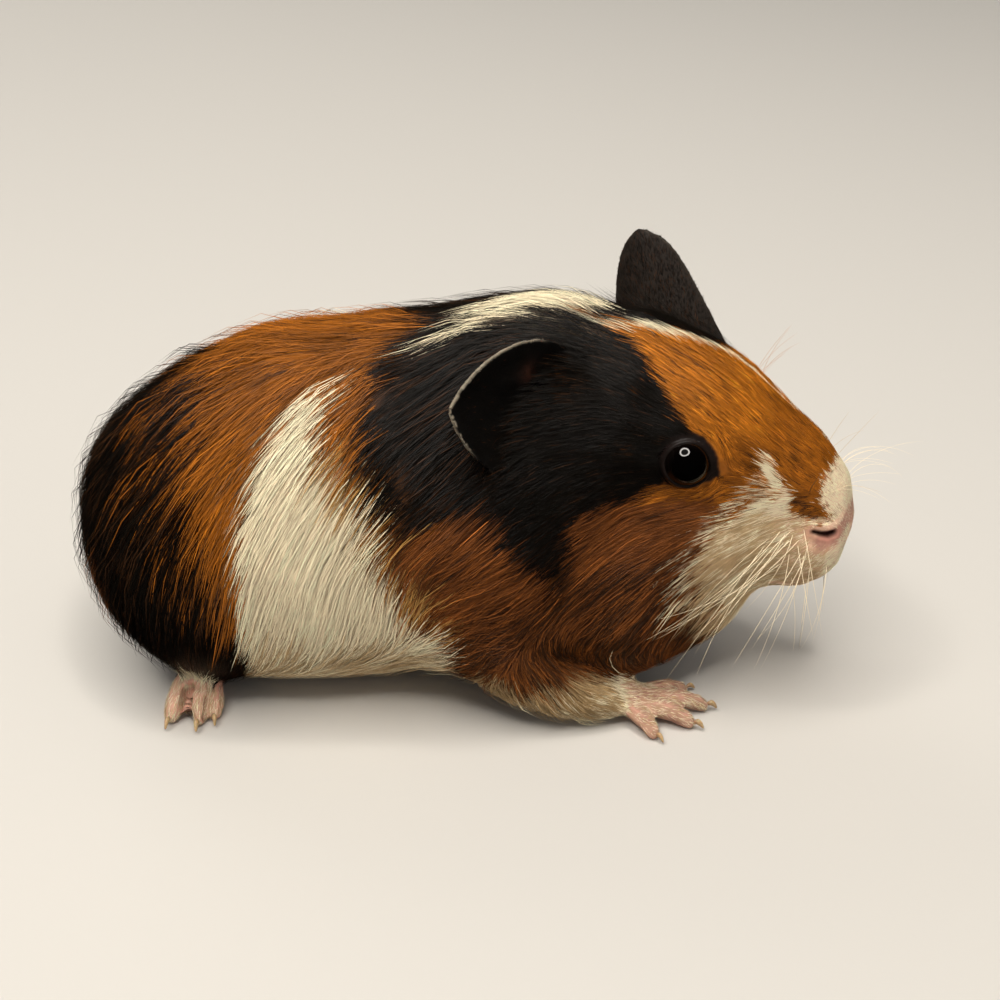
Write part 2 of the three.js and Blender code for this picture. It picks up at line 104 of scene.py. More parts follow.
# The lie of the coat: strokes of a comb on the right side, which the left side mirrors. Each has
# its frame, place, direction, and there the hair's length, the coat's depth and the waves' height.
COMB = {
    "nose tip": ("head", (42, 0, -7), (-0.5, 0.0, 0.87), 1.5, 0.15, 0),
    "nose front": ("head", (42.5, -4, -11), (-0.5, -0.4, 0.75), 1.4, 0.12, 0),
    "nose side": ("head", (39, -6, -8), (-0.67, -0.28, 0.69), 1.8, 0.2, 0),
    "bridge low": ("head", (34, -8, -3), (-0.70, -0.13, 0.70), 3.6, 0.35, 0),
    "bridge": ("head", (28, -7, 4), (-0.76, -0.10, 0.64), 5.6, 0.6, 0),
    "bridge middle": ("head", (30, 0, 4), (-0.77, 0.0, 0.64), 5.6, 0.6, 0),
    "forehead": ("head", (20, -8, 12), (-0.81, 0.02, 0.59), 7.2, 1.0, 0),
    "crown": ("head", (11, -4, 17), (-0.92, 0.03, 0.39), 7.0, 1.2, 0),
    "crown rear": ("head", (4, -3, 20), (-0.97, 0.0, 0.24), 8.0, 1.5, 0),
    "nape": ("head", (-11, -3, 23), (-0.99, -0.06, 0.05), 11, 2.2, 0.1),
    "nape rear": ("head", (-21, -6, 22), (-0.95, -0.18, -0.26), 12, 2.6, 0.1),
    "brow": ("head", (17, -14, 7), (-0.84, 0.05, 0.55), 5.0, 0.7, 0),
    "temple": ("head", (8, -13, 12), (-0.85, 0.06, 0.52), 5.0, 0.9, 0),
    "behind the eye": ("head", (8, -17, 1), (-0.99, -0.14, 0.02), 5.0, 0.9, 0),
    "over the cheek": ("head", (9, -16, 6), (-0.95, -0.10, 0.28), 5.0, 0.8, 0),
    "before the eye": ("head", (25, -12, 1), (-0.70, -0.42, 0.58), 3.2, 0.45, 0),
    "below the eye": ("head", (21, -14, -6), (-0.90, -0.40, -0.18), 5.4, 0.8, 0),
    "high cheek": ("head", (13, -16, -8), (-0.93, -0.25, -0.27), 6.5, 1.1, 0),
    "cheek": ("head", (8, -18, -15), (-0.83, -0.26, -0.50), 8.5, 1.6, 0.1),
    "rear cheek": ("head", (-1, -21, -7), (-0.80, -0.50, -0.28), 7.5, 1.3, 0),
    "ear front": ("head", (-2, -20, 4), (-0.88, -0.45, -0.10), 4.5, 0.8, 0),
    "under the ear": ("head", (-11, -29, -4), (-0.68, -0.56, -0.46), 10, 1.8, 0.1),
    "jowl": ("head", (2, -21, -25), (-0.77, -0.30, -0.56), 10, 1.8, 0.3),
    "lip pad": ("head", (35, -9, -9), (-0.88, -0.33, -0.32), 2.8, 0.3, 0),
    "whisker pad": ("head", (32, -11, -14), (-0.84, -0.27, -0.46), 4.6, 0.45, 0),
    "lip": ("head", (38, -10, -18), (-0.70, -0.34, -0.62), 2.4, 0.25, 0),
    "chin": ("head", (34, -5, -27), (-0.86, -0.10, -0.50), 4.5, 0.7, 0.1),
    "jaw": ("head", (24, -13, -24), (-0.72, -0.06, -0.68), 8.5, 1.3, 0.2),
    "rear jaw": ("head", (16, -17, -19), (-0.78, -0.05, -0.62), 9.0, 1.5, 0.2),
    "throat": ("head", (15, 0, -36), (-0.93, 0.0, -0.35), 9.5, 1.8, 0.4),
    "chest": ("trunk", (38, -12, 22), (-0.45, -0.15, -0.88), 10, 2.2, 0.5),
    "chest side": ("trunk", (29, -22, 20), (-0.62, -0.2, -0.75), 10, 2.2, 0.5),
    "breast": ("trunk", (30, -6, 9), (-0.75, 0.0, -0.6), 9.0, 1.8, 0.4),
    "behind the ear": ("trunk", (-2, -16, 63), (-0.80, -0.42, -0.42), 12, 2.4, 0.1),
    "neck": ("trunk", (-4, -8, 66), (-0.88, -0.34, -0.32), 12.5, 2.6, 0.1),
    "low neck": ("trunk", (-4, -26, 54), (-0.74, -0.47, -0.48), 13, 2.6, 0.15),
    "withers": ("trunk", (-11, -18, 61), (-0.72, -0.56, -0.40), 13.5, 3.0, 0.15),
    "shoulder": ("trunk", (-2, -31, 44), (-0.78, -0.22, -0.58), 12, 2.8, 0.3),
    "low shoulder": ("trunk", (5, -33, 31), (-0.88, -0.06, -0.46), 9.5, 2.4, 0.6),
    "upper arm": ("trunk", (8, -32, 20), (-0.93, -0.11, -0.34), 8.0, 2.0, 0.8),
    "elbow": ("trunk", (3, -33, 15), (-0.78, -0.30, -0.55), 7.5, 1.8, 0.6),
    "back": ("trunk", (-15, 0, 67), (-0.99, 0.0, -0.10), 13.5, 3.0, 0.1),
    "middle back": ("trunk", (-30, 0, 66), (-0.98, 0.0, -0.20), 14, 3.4, 0.1),
    "rear back": ("trunk", (-40, -8, 62), (-0.86, -0.32, -0.38), 14.5, 3.6, 0.1),
    "rump top": ("trunk", (-51, -8, 57), (-0.70, -0.44, -0.56), 15, 4.0, 0.15),
    "high side": ("trunk", (-19, -16, 63), (-0.68, -0.56, -0.46), 14, 3.4, 0.15),
    "side": ("trunk", (-22, -25, 56), (-0.55, -0.50, -0.67), 15, 3.8, 0.15),
    "middle side": ("trunk", (-24, -32, 44), (-0.43, -0.31, -0.85), 15, 4.0, 0.15),
    "low side": ("trunk", (-23, -34, 29), (-0.25, 0.10, -0.96), 14, 3.8, 0.15),
    "low front side": ("trunk", (-11, -34, 29), (-0.23, 0.05, -0.97), 13, 3.4, 0.15),
    "front flank": ("trunk", (-14, -30, 50), (-0.54, -0.38, -0.75), 14, 3.4, 0.15),
    "high haunch": ("trunk", (-38, -18, 58), (-0.72, -0.40, -0.58), 15, 4.0, 0.15),
    "haunch": ("trunk", (-41, -27, 45), (-0.47, -0.22, -0.86), 15, 4.2, 0.2),
    "low haunch": ("trunk", (-44, -33, 31), (-0.28, -0.15, -0.94), 14, 3.8, 0.2),
    "rump": ("trunk", (-57, -18, 46), (-0.53, -0.20, -0.82), 15, 4.4, 0.2),
    "rump end": ("trunk", (-68, -6, 34), (-0.20, 0.0, -0.98), 14, 4.0, 0.2),
    "rump hem": ("trunk", (-53, -31, 22), (-0.20, 0.05, -0.97), 13, 3.4, 0.2),
    "rump foot": ("trunk", (-62, -14, 12), (0.05, 0.05, -1.0), 11, 2.8, 0.2),
    "belly": ("trunk", (-20, -12, 3), (-0.98, -0.1, 0.0), 8.0, 2.0, 0.2),
    "front belly": ("trunk", (6, -10, 4), (-0.95, -0.15, 0.0), 8.0, 1.8, 0.3),
    "forearm": ("trunk", (15, -34, 12), (0.60, -0.20, -0.77), 6.0, 1.6, 0.2),
    "forearm low": ("trunk", (10, -31, 6), (0.30, -0.45, -0.84), 5.5, 2.6, 0.2),
    "forearm front": ("trunk", (20, -31, 5), (0.60, -0.35, -0.72), 4.8, 1.8, 0.1),
    "wrist": ("trunk", (26, -32, 8), (0.93, 0.12, -0.35), 3.2, 0.4, 0),
    "hand": ("trunk", (34, -29, 5), (0.93, 0.10, -0.35), 1.8, 0.15, 0),
    "shank": ("trunk", (-48, -31, 14), (-0.10, -0.2, -0.97), 5.0, 0.9, 0.1),
    "hind toes": ("trunk", (-49, -31, 6), (-0.10, -0.85, -0.5), 3.2, 0.2, 0),
}

# Outlines and strokes of the markings, laid over one another in this order. An outline's points
# are millimetres along the body and degrees from its upper middle line down its side, on the
# trunk's or the head's own axis. A stroke's points are a place and a radius. cover is the share of
# locks that take the dye, ragged the depth in millimetres to which the edge breaks up.
MARKINGS = (
    {"dye": "amber", "frame": "head", "ragged": 4, "outline": (
        (-8, -60), (-8, 60), (10, 64), (20, 62), (27, 48), (29, 0), (27, -48), (20, -62),
        (10, -64))},
    {"dye": "amber", "frame": "head", "ragged": 3, "cover": 0.5, "outline": (
        (20, 84), (26, 88), (24, 100), (12, 106), (4, 104), (8, 94))},
    {"dye": "rust", "frame": "trunk", "ragged": 3, "outline": (
        (-12, 72), (-8, 73), (-2, 66), (3, 64), (14, 62), (46, 60), (46, 200), (0, 200), (-3, 121),
        (-3, 113), (-8, 103), (-11, 90), (-14, 78))},
    {"dye": "rust", "frame": "head", "ragged": 5, "cover": 0.85, "outline": (
        (24, 100), (21, 112), (19, 122), (24, 160), (24, 200), (-30, 200), (-30, 122), (-5, 122),
        (-3, 107), (4, 112), (12, 108), (18, 104))},
    {"dye": "sable", "frame": "head", "ragged": 4, "cover": 0.5, "outline": (
        (24, 150), (16, 128), (4, 128), (-6, 126), (-14, 118), (-30, 130), (-30, 200), (24, 200))},
    {"dye": "sable", "frame": "trunk", "ragged": 3, "cover": 0.45, "outline": (
        (18, 90), (46, 88), (46, 200), (4, 200), (10, 130))},
    {"dye": "black", "frame": "trunk", "ragged": 3.0, "cover": 0.66, "outline": (
        (-51, 4), (-45, 18), (-47, 40), (-46, 64), (-43, 90), (-40, 112), (-38, 125), (-64, 125),
        (-64, 40))},
    {"dye": "black", "frame": "trunk", "ragged": 2.5, "outline": (
        (-51, -6), (-52, 11), (-57, 18), (-58, 26), (-60, 42), (-61, 58), (-54, 68), (-53, 86),
        (-49, 100), (-42, 107), (-38, 114), (-37, 124), (-37, 200), (-95, 200), (-95, -6))},
    {"dye": "cream", "frame": "trunk", "ragged": 2.0, "outline": (
        (-25, 29), (-31, 38), (-35, 51), (-37, 65), (-38, 79), (-38, 93), (-38, 109), (-37, 121),
        (-36, 200), (6, 200), (-1, 121), (-4, 113), (-9, 103), (-12, 90), (-15, 78), (-17, 65),
        (-20, 59), (-23, 53), (-24, 44), (-22, 35))},
    {"dye": "tan", "frame": "trunk", "ragged": 2.0, "cover": 0.5, "stroke": (
        (-22.5, -27, 51, 3.0), (-16, -32, 42, 3.0), (-10, -34, 32, 2.6), (-3, -33, 20, 2.4))},
    {"dye": "cream", "frame": "trunk", "ragged": 1.5, "cover": 0.6, "stroke": (
        (-5.0, -30.5, 17.5, 2.6), (-3, -31, 17, 2.0))},
    {"dye": "black", "frame": "trunk", "ragged": 2.2, "outline": (
        (-5, -6), (-10, 3), (-13, 14), (-15, 25), (-15, 35), (-17, 44), (-16, 58), (-14, 69),
        (-12, 72), (-8, 73), (-2, 68), (3, 67), (8, 76), (16, 76), (18, 40), (14, 0), (6, -6))},
    {"dye": "black", "frame": "head", "side": RIGHT, "ragged": 1.0, "outline": (
        (-3, 8), (1, 14), (5, 21), (9, 31), (12, 42), (15, 50), (18, 53), (20.5, 63), (21, 77),
        (16, 84), (10, 87), (7, 94), (3, 100), (-1, 99), (-3, 100), (-4, 109), (-3, 120), (-5, 123),
        (-9, 113), (-12, 104), (-15, 101), (-15, 93), (-18, 92), (-23, 84), (-34, 66), (-34, 20),
        (-22, 12))},
    {"dye": "black", "frame": "head", "side": LEFT, "ragged": 1.2, "outline": (
        (-12, -4), (-3, -9), (4, -5), (12, 1), (17, 9), (19, 24), (20, 44), (21, 62), (20, 78),
        (16, 84), (9, 90), (3, 103), (-3, 112), (-9, 108), (-13, 96), (-20, 88), (-34, 66),
        (-34, 8))},
    {"dye": "cream", "frame": "head", "side": None, "ragged": 0.35, "stroke": (
        (-6, -4.6, 21, 0.7), (-2.2, -5.2, 21, 0.9), (3.5, -3.1, 20.3, 1.1), (12, -0.2, 18, 1.1),
        (16.1, 2.1, 15.6, 1.0), (20, 3.0, 13.2, 0.9), (28, 3.0, 6, 0.8), (36, 2, -2, 1.2))},
    {"dye": "cream", "frame": "head", "side": None, "ragged": 1.2, "stroke": (
        (-7.0, 1.0, 22.5, 3.4), (-14, -1.5, 23, 4.2), (-21, -3.4, 22.5, 3.6),
        (-27, -5.5, 21, 2.6))},
    {"dye": "cream", "frame": "head", "side": None, "ragged": 1.5, "cover": 0.5, "stroke": (
        (-20, -7, 21, 2.4), (-27, -10, 19, 2.6), (-33, -14, 16, 2.0))},
    {"dye": "cream", "frame": "head", "ragged": 2.5, "cover": 0.45, "outline": (
        (27, 76), (28.5, 92), (26, 112), (22, 128), (22, 150), (14, 142), (13, 130), (17, 117),
        (21, 105), (24, 93), (26, 84))},
    {"dye": "cream", "frame": "head", "ragged": 1.6, "outline": (
        (28.0, 55), (29.2, 64), (30.6, 80), (32.5, 97), (33.5, 116), (37, 127), (41, 132),
        (46, 150), (46, 200), (22, 200), (21, 150), (18, 137), (17.5, 129), (20.5, 121),
        (24.6, 111), (27.6, 100), (29.4, 91), (29.2, 80), (27.8, 68))},
    {"dye": "amber", "frame": "head", "ragged": 1.5, "cover": 0.3, "outline": (
        (27, 50), (31, 64), (32, 90), (30, 104), (24, 110), (22, 106), (25, 96), (28, 78))},
    {"dye": "cream", "frame": "head", "ragged": 1.0, "outline": (
        (40, -20), (39, 53), (37.8, 90), (38, 112), (40, 128), (42, 140), (50, 140), (50, -20))},
    {"dye": "sable", "frame": "head", "ragged": 0.6, "cover": 0.6, "stroke": (
        (34.0, -9.0, -8.0, 1.0), (37.2, -8.3, -11.6, 0.9))},
    # painted shade: pale hair low on the belly darkened to buff
    {"dye": "buff", "frame": "trunk", "ragged": 4, "cover": 0.6, "outline": (
        (-37, 116), (-10, 116), (-1, 121), (6, 200), (-36, 200))},
    # painted shade: pale hair under the muzzle and chin darkened to buff
    {"dye": "buff", "frame": "head", "ragged": 3, "cover": 0.65, "outline": (
        (22, 112), (33, 116), (37, 127), (40, 140), (40, 200), (22, 200), (16, 137))},
    {"dye": "cream", "frame": "trunk", "ragged": 1.4, "stroke": (
        (4, -31, 4.5, 3.6), (12, -31, 2.2, 4.4), (20, -31, 2.6, 4.8), (28, -30, 3.4, 5.0),
        (38, -26, 3, 5.5))},
    # painted shade: the forearm's pale hair, under the body, darkened to fawn
    {"dye": "fawn", "frame": "trunk", "ragged": 2, "cover": 0.7, "stroke": (
        (4, -31, 8, 3.6), (12, -31, 5, 4.2), (20, -31, 5.5, 4.4), (26, -30, 6, 4.4))},
    {"dye": "cream", "frame": "trunk", "ragged": 1.0, "stroke": (
        (-49, -27, 3, 5.6), (-50, -34, 1, 6.0))},
    {"dye": "rust", "frame": "trunk", "ragged": 1.5, "cover": 0.7, "stroke": (
        (-66, -17, 23, 3.5), (-64, -20, 17, 3.0))},
)

# Colours of the hair and the skin. Some of them also carry painted shade, as noted at each.
DYES = {
    "ginger": "#9A5810",
    "amber": "#B86C18",
    "rust": "#7A4419",
    "tan": "#B98A4A",
    # fawn: pale hair darkened as painted shade, on the forearm under the body
    "fawn": "#A88B62",
    "black": "#110D09",
    "sable": "#3B2413",
    "ash": "#8F8474",
    "rim": "#928877",
    "cream": "#F5E3C0",
    # buff: pale hair darkened as painted shade low on the belly and under the chin; on the feet and
    # some whiskers, a darker tone of their own
    "buff": "#BFA279",
    "pink": "#DBA992",
    "nose": "#BC8C7A",
    "raw": "#B4685A",
    "lid": "#1B1412",
    "ear": "#2A231E",
    # hollow: the ears' black inner skin, darkened further as painted shade
    "hollow": "#0A0807",
    "fold": "#33190F",
    # nostril: painted shade inside the nostrils
    "nostril": "#2B130E",
    "horn_root": "#8E6250",
    "horn_tip": "#BFA277",
}
# The dyes whose hairs each of the coat's materials holds.
SLOTS = {
    "ginger": ("ginger", "amber", "rust", "tan", "fawn"),
    "black": ("black", "sable", "ash"),
    "cream": ("cream", "buff"),
}


def linear(text):
    """An sRGB hex colour as linear red, green, blue and 1."""
    parts = [int(text[i : i + 2], 16) / 255 for i in (1, 3, 5)]
    return [c / 12.92 if c <= 0.04045 else ((c + 0.055) / 1.055) ** 2.4 for c in parts] + [1.0]


DYE = {name: np.array(linear(text)[:3]) for name, text in DYES.items()}


# ---- places and directions ----


def to_head(points):
    return (np.asarray(points, float) - HEAD_CENTRE) @ HEAD_AXES.T


def from_head(points):
    return np.asarray(points, float) @ HEAD_AXES + HEAD_CENTRE


def unit(vectors):
    return vectors / np.maximum(np.linalg.norm(vectors, axis=-1, keepdims=True), 1e-9)


def ramp(value, low, high):
    """0 below low, 1 above high, smooth between; low may be the larger."""
    t = np.clip((value - low) / (high - low), 0, 1)
    return t * t * (3 - 2 * t)


# Four waves of ripple's field: the way each runs, and its phase.
RIPPLES = (
    (1.0, 0.37, -0.61, 0.3),
    (-0.53, 1.0, 0.44, 1.9),
    (0.29, -0.71, 1.0, 4.1),
    (0.83, 0.79, 0.67, 2.6),
)


def ripple(points, size):
    """A smooth random field, about -1 to 1, whose humps are size millimetres across."""
    total = np.zeros(len(points))
    for turn, (*way, phase) in enumerate(RIPPLES):
        angle = (points @ np.array(way)) * (3.0 / size) + phase
        bend = np.sin(angle * 0.57 + turn + points[:, turn % 3] * 2.1 / size)
        total += np.sin(angle + 1.3 * bend)
    return total / 3


def to_path(points, path):
    """Each point's distance from the balls swept along path, less their radius."""
    best = np.full(len(points), np.inf)
    path = np.asarray(path, float)
    for a, b in zip(path[:-1], path[1:]):
        along = b[:3] - a[:3]
        t = np.clip((points - a[:3]) @ along / (along @ along), 0, 1)
        gap = np.linalg.norm(points - a[:3] - t[:, None] * along, axis=1)
        best = np.minimum(best, gap - (a[3] + (b[3] - a[3]) * t))
    return best


def to_outline(points, outline):
    """Each point's distance from a closed outline in the plane, negative inside."""
    best = np.full(len(points), np.inf)
    inside = np.zeros(len(points), bool)
    x, y = points.T
    for (ax, ay), (bx, by) in zip(outline, np.roll(outline, -1, axis=0)):
        ex, ey = bx - ax, by - ay
        t = np.clip(((x - ax) * ex + (y - ay) * ey) / (ex * ex + ey * ey), 0, 1)
        best = np.minimum(best, np.hypot(x - ax - t * ex, y - ay - t * ey))
        if ay != by:
            inside ^= ((ay > y) != (by > y)) & (x < ex * (y - ay) / ey + ax)
    return np.where(inside, -best, best)


def unrolled(points, frame_name):
    """Millimetres along the body and degrees round it, positive down the right side."""
    if frame_name == "head":
        local = to_head(points)
        return local[:, 0], np.degrees(np.arctan2(-local[:, 1], local[:, 2] - HEAD_AXIS_UP))
    local = points - BODY_ORIGIN
    return local[:, 0], np.degrees(np.arctan2(-local[:, 1], local[:, 2] - TRUNK_AXIS))


def marked(points, luck=None):
    """The name of the dye at each point. luck is a number for each, 0 to 1, which picks its share
    of a marking's cover; by default it changes slowly over the surface."""
    if luck is None:
        luck = 0.5 + 0.5 * ripple(points, 1.6)
    names = np.full(len(points), "ginger", dtype="<U8")
    edge = 0.6 * ripple(points, 4.0) + 0.4 * ripple(points[:, ::-1], 1.7)
    # The left side's markings are the right's, drawn a little otherwise.
    sway = 5.0 * ripple(points, 45.0) * ramp(points[:, 1], 4.0, 22.0)
    for marking in MARKINGS:
        side = marking.get("side", 0)
        girth = HEAD_GIRTH if marking["frame"] == "head" else TRUNK_GIRTH
        if "outline" in marking:
            along, down = unrolled(points, marking["frame"])
            if side == 0:
                along, down = along + sway, np.abs(down)
            across = down * girth * (-1 if side == LEFT else 1)
            outline = np.array(marking["outline"], float) * (1, girth)
            gap = to_outline(np.stack((along, across), 1), outline)
        else:
            local = to_head(points) if marking["frame"] == "head" else points - BODY_ORIGIN
            if side == 0:
                local[:, 0] += sway
                local[:, 1] = -np.abs(local[:, 1])
            gap = to_path(local, marking["stroke"])
        chosen = gap + edge * marking["ragged"] * 0.5 < 0
        names[chosen & (luck < marking.get("cover", 1.0))] = marking["dye"]
    return names


FLATNESS = 0.36  # the coat's depth where it lies, as a share of the depth in the comb's table
COMB_SOFT = 3.0  # millimetres within which one stroke holds sway
COMB_BLOCK = 20000  # points combed at a time, which spares memory


def comb_table():
    """The comb's strokes on both sides: places, directions, and lengths, depths and waves."""
    places, directions, sizes = [], [], []
    for frame_name, place, direction, *size in COMB.values():
        for mirror in (1, -1) if place[1] else (1,):
            turn = np.array((1, mirror, 1))
            if frame_name == "head":
                places.append(from_head(place * turn))
                directions.append((direction * turn) @ HEAD_AXES)
            else:
                places.append(place * turn + BODY_ORIGIN)
                directions.append(direction * turn)
            sizes.append(size)
    return np.array(places), unit(np.array(directions)), np.array(sizes) * (1, FLATNESS, 1)


COMB_PLACES, COMB_DIRECTIONS, COMB_SIZES = comb_table()


def combed(points):
    """The coat's direction, hair length, depth and wave at each point."""
    directions = np.empty((len(points), 3))
    sizes = np.empty((len(points), 3))
    for start in range(0, len(points), COMB_BLOCK):
        block = slice(start, start + COMB_BLOCK)
        gaps = ((points[block, None] - COMB_PLACES[None]) ** 2).sum(2)
        weights = 1 / (gaps + COMB_SOFT**2) ** 2
        weights /= weights.sum(1, keepdims=True)
        directions[block] = weights @ COMB_DIRECTIONS
        sizes[block] = weights @ COMB_SIZES
    return unit(directions), sizes[:, 0], sizes[:, 1], sizes[:, 2]


def eyes_of_head():
    """The two eyes: centre, direction of look, and the ways to the nose and up across it."""
    eyes = []
    for side in (RIGHT, LEFT):
        turn = np.array((1, side, 1))
        centre = from_head(EYE_PLACE * turn)
        look = unit((EYE_LOOK * turn) @ HEAD_AXES)
        nose_way = unit(HEAD_AXES[0] - look * (HEAD_AXES[0] @ look))
        up_way = np.cross(look, nose_way) * (1 if side == RIGHT else -1)
        up_way *= np.sign(up_way[2])
        eyes.append((centre, look, nose_way, up_way))
    return eyes


def seen_from_eye(points, eye):
    """Distance from the eye's centre, degrees off its look, and the lids' opening that way."""
    centre, look, nose_way, up_way = eye
    off = points - centre
    reach = np.linalg.norm(off, axis=1)
    angle = np.degrees(np.arccos(np.clip(off @ look / np.maximum(reach, 1e-9), -1, 1)))
    turn = np.arctan2(off @ up_way, off @ nose_way)
    front = np.clip(np.cos(turn + 0.35), 0, 1) ** 10  # the front corner points down to the nose
    rear = np.clip(-np.cos(turn), 0, 1) ** 6
    return reach, angle, LID_OPENING + 12 * front + 5 * rear


def ear_axes(ear):
    """The middle of the ear's root, the way to its rim, and the ways across and into its hollow."""
    start = BODY_ORIGIN + ear["root"]
    along = np.array(ear["rim"]) - ear["root"]
    wide = np.array(ear["across"])
    wide = unit(wide - along * (wide @ along) / (along @ along))
    return start, along, wide, unit(np.cross(wide, along)) * ear["opens"]


def ear_width(ear, v):
    """Half the flap's width at a share v of the way to the rim."""
    drawn_in = 1 - ear["tuck"] * (1 - v) ** 4
    narrow = 1 - ear["narrowing"] * v
    return ear["half"] * narrow * np.sqrt(1 - v.clip(0, 1) ** ear["blunt"]) * drawn_in


def on_ear(points, ear):
    """Shares of the way to the rim and of the half width, the height over the ear's middle layer
    towards its hollow, and the distance from its edge."""
    start, along, wide, hollow = ear_axes(ear)
    off = points - start
    v = (off @ along / (along @ along)).clip(0, 0.99)
    width = ear_width(ear, v)
    u = off @ wide / width
    height = off @ hollow - ear["cup"] * (np.minimum(u * u, 1) - 1) * (1 - v / 2)
    edge = np.minimum(width * (1 - np.abs(u)), (1 - v) * np.linalg.norm(along))
    return v, u, height, edge


def rim_shows(v, u):
    """How far the ear's pale rim shows: all along its upper edge, and round to the lower one."""
    low = np.where(u > 0, 0.1, 0.7)
    return ramp(v, low, low + 0.22)


def ear_shell(ear, rim):
    """A search tree of the ear's own thin shell. rim is half its thickness at the edge."""
    start, along, wide, hollow = ear_axes(ear)
    rows, columns = 48, 36
    v = (1.0 - 1.15 * (1 - np.sin(np.linspace(0, 1, rows) * math.pi / 2)))[:, None]
    u = np.sin(np.linspace(-0.5, 0.5, columns) * math.pi)[None]
    width = ear_width(ear, v.clip(None, 0.9995))
    edge = np.minimum(width * (1 - np.abs(u)), (1 - v) * np.linalg.norm(along))
    thick = rim + (0.55 - rim) * ramp(edge, 0.0, 3.0)
    middle = ear["cup"] * (u * u - 1) * (1 - v / 2)
    flat = start + v[:, :, None] * along + (width * u)[:, :, None] * wide
    faces = [flat + (middle + side * thick)[:, :, None] * hollow for side in (1, -1)]
    ring = np.concatenate((faces[0], faces[1][:, ::-1]), 1)
    around = ring.shape[1]
    quads = [
        (low + c, low + (c + 1) % around, low + around + (c + 1) % around, low + around + c)
        for low in range(0, (rows - 1) * around, around)
        for c in range(around)
    ]
    return BVHTree.FromPolygons(ring.reshape(-1, 3).tolist(), quads)


# ---- meshes ----


def fetch(items, field, kind, width=1):
    """One field of all the items, as an array with a row of width numbers for each."""
    values = np.empty(len(items) * width, kind)
    items.foreach_get(field, values)
    return values.reshape(-1, width) if width > 1 else values


def coordinates(mesh):
    return fetch(mesh.vertices, "co", float, 3) / MM


def set_coordinates(mesh, points):
    mesh.vertices.foreach_set("co", (points * MM).astype(np.float32).ravel())
    mesh.update()


def vertex_normals(mesh):
    return fetch(mesh.vertex_normals, "vector", np.float32, 3).astype(float)


def edges_of(mesh):
    return fetch(mesh.edges, "vertices", np.int64, 2)


def values_of(mesh, name):
    return fetch(mesh.attributes[name].data, "value", np.float32)


def set_values(mesh, name, values):
    """Writes a number for each vertex to a new attribute of the mesh."""
    layer = mesh.attributes.new(name, "FLOAT", "POINT")
    layer.data.foreach_set("value", values.astype(np.float32))


def named(names, word):
    """Where the names hold the word."""
    return np.char.find(names, word) >= 0


def nearest_of(places):
    """A search tree of places."""
    tree = KDTree(len(places))
    for i, place in enumerate(places.tolist()):
        tree.insert(place, i)
    tree.balance()
    return tree


def spread(values, edges, rounds):
    """Values averaged with their neighbours' over the mesh, rounds times."""
    values = values.astype(float)
    count = np.bincount(edges.ravel(), minlength=len(values)).astype(float)
    flat = values.reshape(len(values), -1)
    for _ in range(rounds):
        near = np.stack(
            [
                np.bincount(edges[:, 0], column[edges[:, 1]], len(values))
                + np.bincount(edges[:, 1], column[edges[:, 0]], len(values))
                for column in flat.T
            ],
            1,
        )
        flat = 0.5 * flat + 0.5 * near / np.maximum(count, 1)[:, None]
    return flat.reshape(values.shape)


def paint(mesh, name, colours):
    """Writes a colour for each vertex to an attribute of the mesh."""
    layer = mesh.color_attributes.new(name, "FLOAT_COLOR", "POINT")
    rgba = np.ones((len(mesh.vertices), 4), np.float32)
    rgba[:, :3] = colours
    layer.data.foreach_set("color", rgba.ravel())


def finish_piece(piece, material, slot, *nodes):
    piece.data.materials.clear()
    piece.data.materials.append(material)
    piece.data.polygons.foreach_set("use_smooth", np.ones(len(piece.data.polygons), bool))
    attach(piece, "root")
    if nodes:
        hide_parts(*nodes)
    piece.data.update()
    return piece


def only(piece):
    """Makes the piece the one selected and active object."""
    bpy.ops.object.select_all(action="DESELECT")
    piece.select_set(True)
    bpy.context.view_layer.objects.active = piece


def modify(piece, kind, **settings):
    """Adds one modifier to the piece and applies it."""
    only(piece)
    modifier = piece.modifiers.new(kind.lower(), kind)
    for name, value in settings.items():
        setattr(modifier, name, value)
    bpy.ops.object.modifier_apply(modifier=modifier.name)


def on_whole(piece, operator, **settings):
    """Runs a mesh operator on all of the piece, in edit mode."""
    only(piece)
    bpy.ops.object.mode_set(mode="EDIT")
    bpy.ops.mesh.select_all(action="SELECT")
    operator(**settings)
    bpy.ops.object.mode_set(mode="OBJECT")


def joined_copies(names, new_name):
    """One new object made of merged copies of the named CAD nodes."""
    bpy.ops.object.select_all(action="DESELECT")
    for name in names:
        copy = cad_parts[name].copy()
        copy.data = copy.data.copy()
        copy.parent = None
        for key in [k for k in copy.keys() if k.startswith("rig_")]:
            del copy[key]
        bpy.context.collection.objects.link(copy)
        copy.select_set(True)
        bpy.context.view_layer.objects.active = copy
    bpy.ops.object.join()
    piece = bpy.context.object
    piece.name = piece.data.name = new_name
    on_whole(piece, bpy.ops.mesh.remove_doubles, threshold=1e-5)
    return piece


def nearest_nodes(points, names):
    """The name of the CAD node whose surface is nearest to each point."""
    corners, triangles, owner = [], [], []
    for name in names:
        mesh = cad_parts[name].data
        mesh.calc_loop_triangles()
        start = len(corners)
        corners.extend(v.co / MM for v in mesh.vertices)
        triangles.extend(tuple(start + i for i in t.vertices) for t in mesh.loop_triangles)
        owner.extend([name] * len(mesh.loop_triangles))
    tree = BVHTree.FromPolygons(corners, triangles)
    owner = np.array(owner)
    return owner[[tree.find_nearest(p)[2] for p in points.tolist()]]


# ---- materials ----


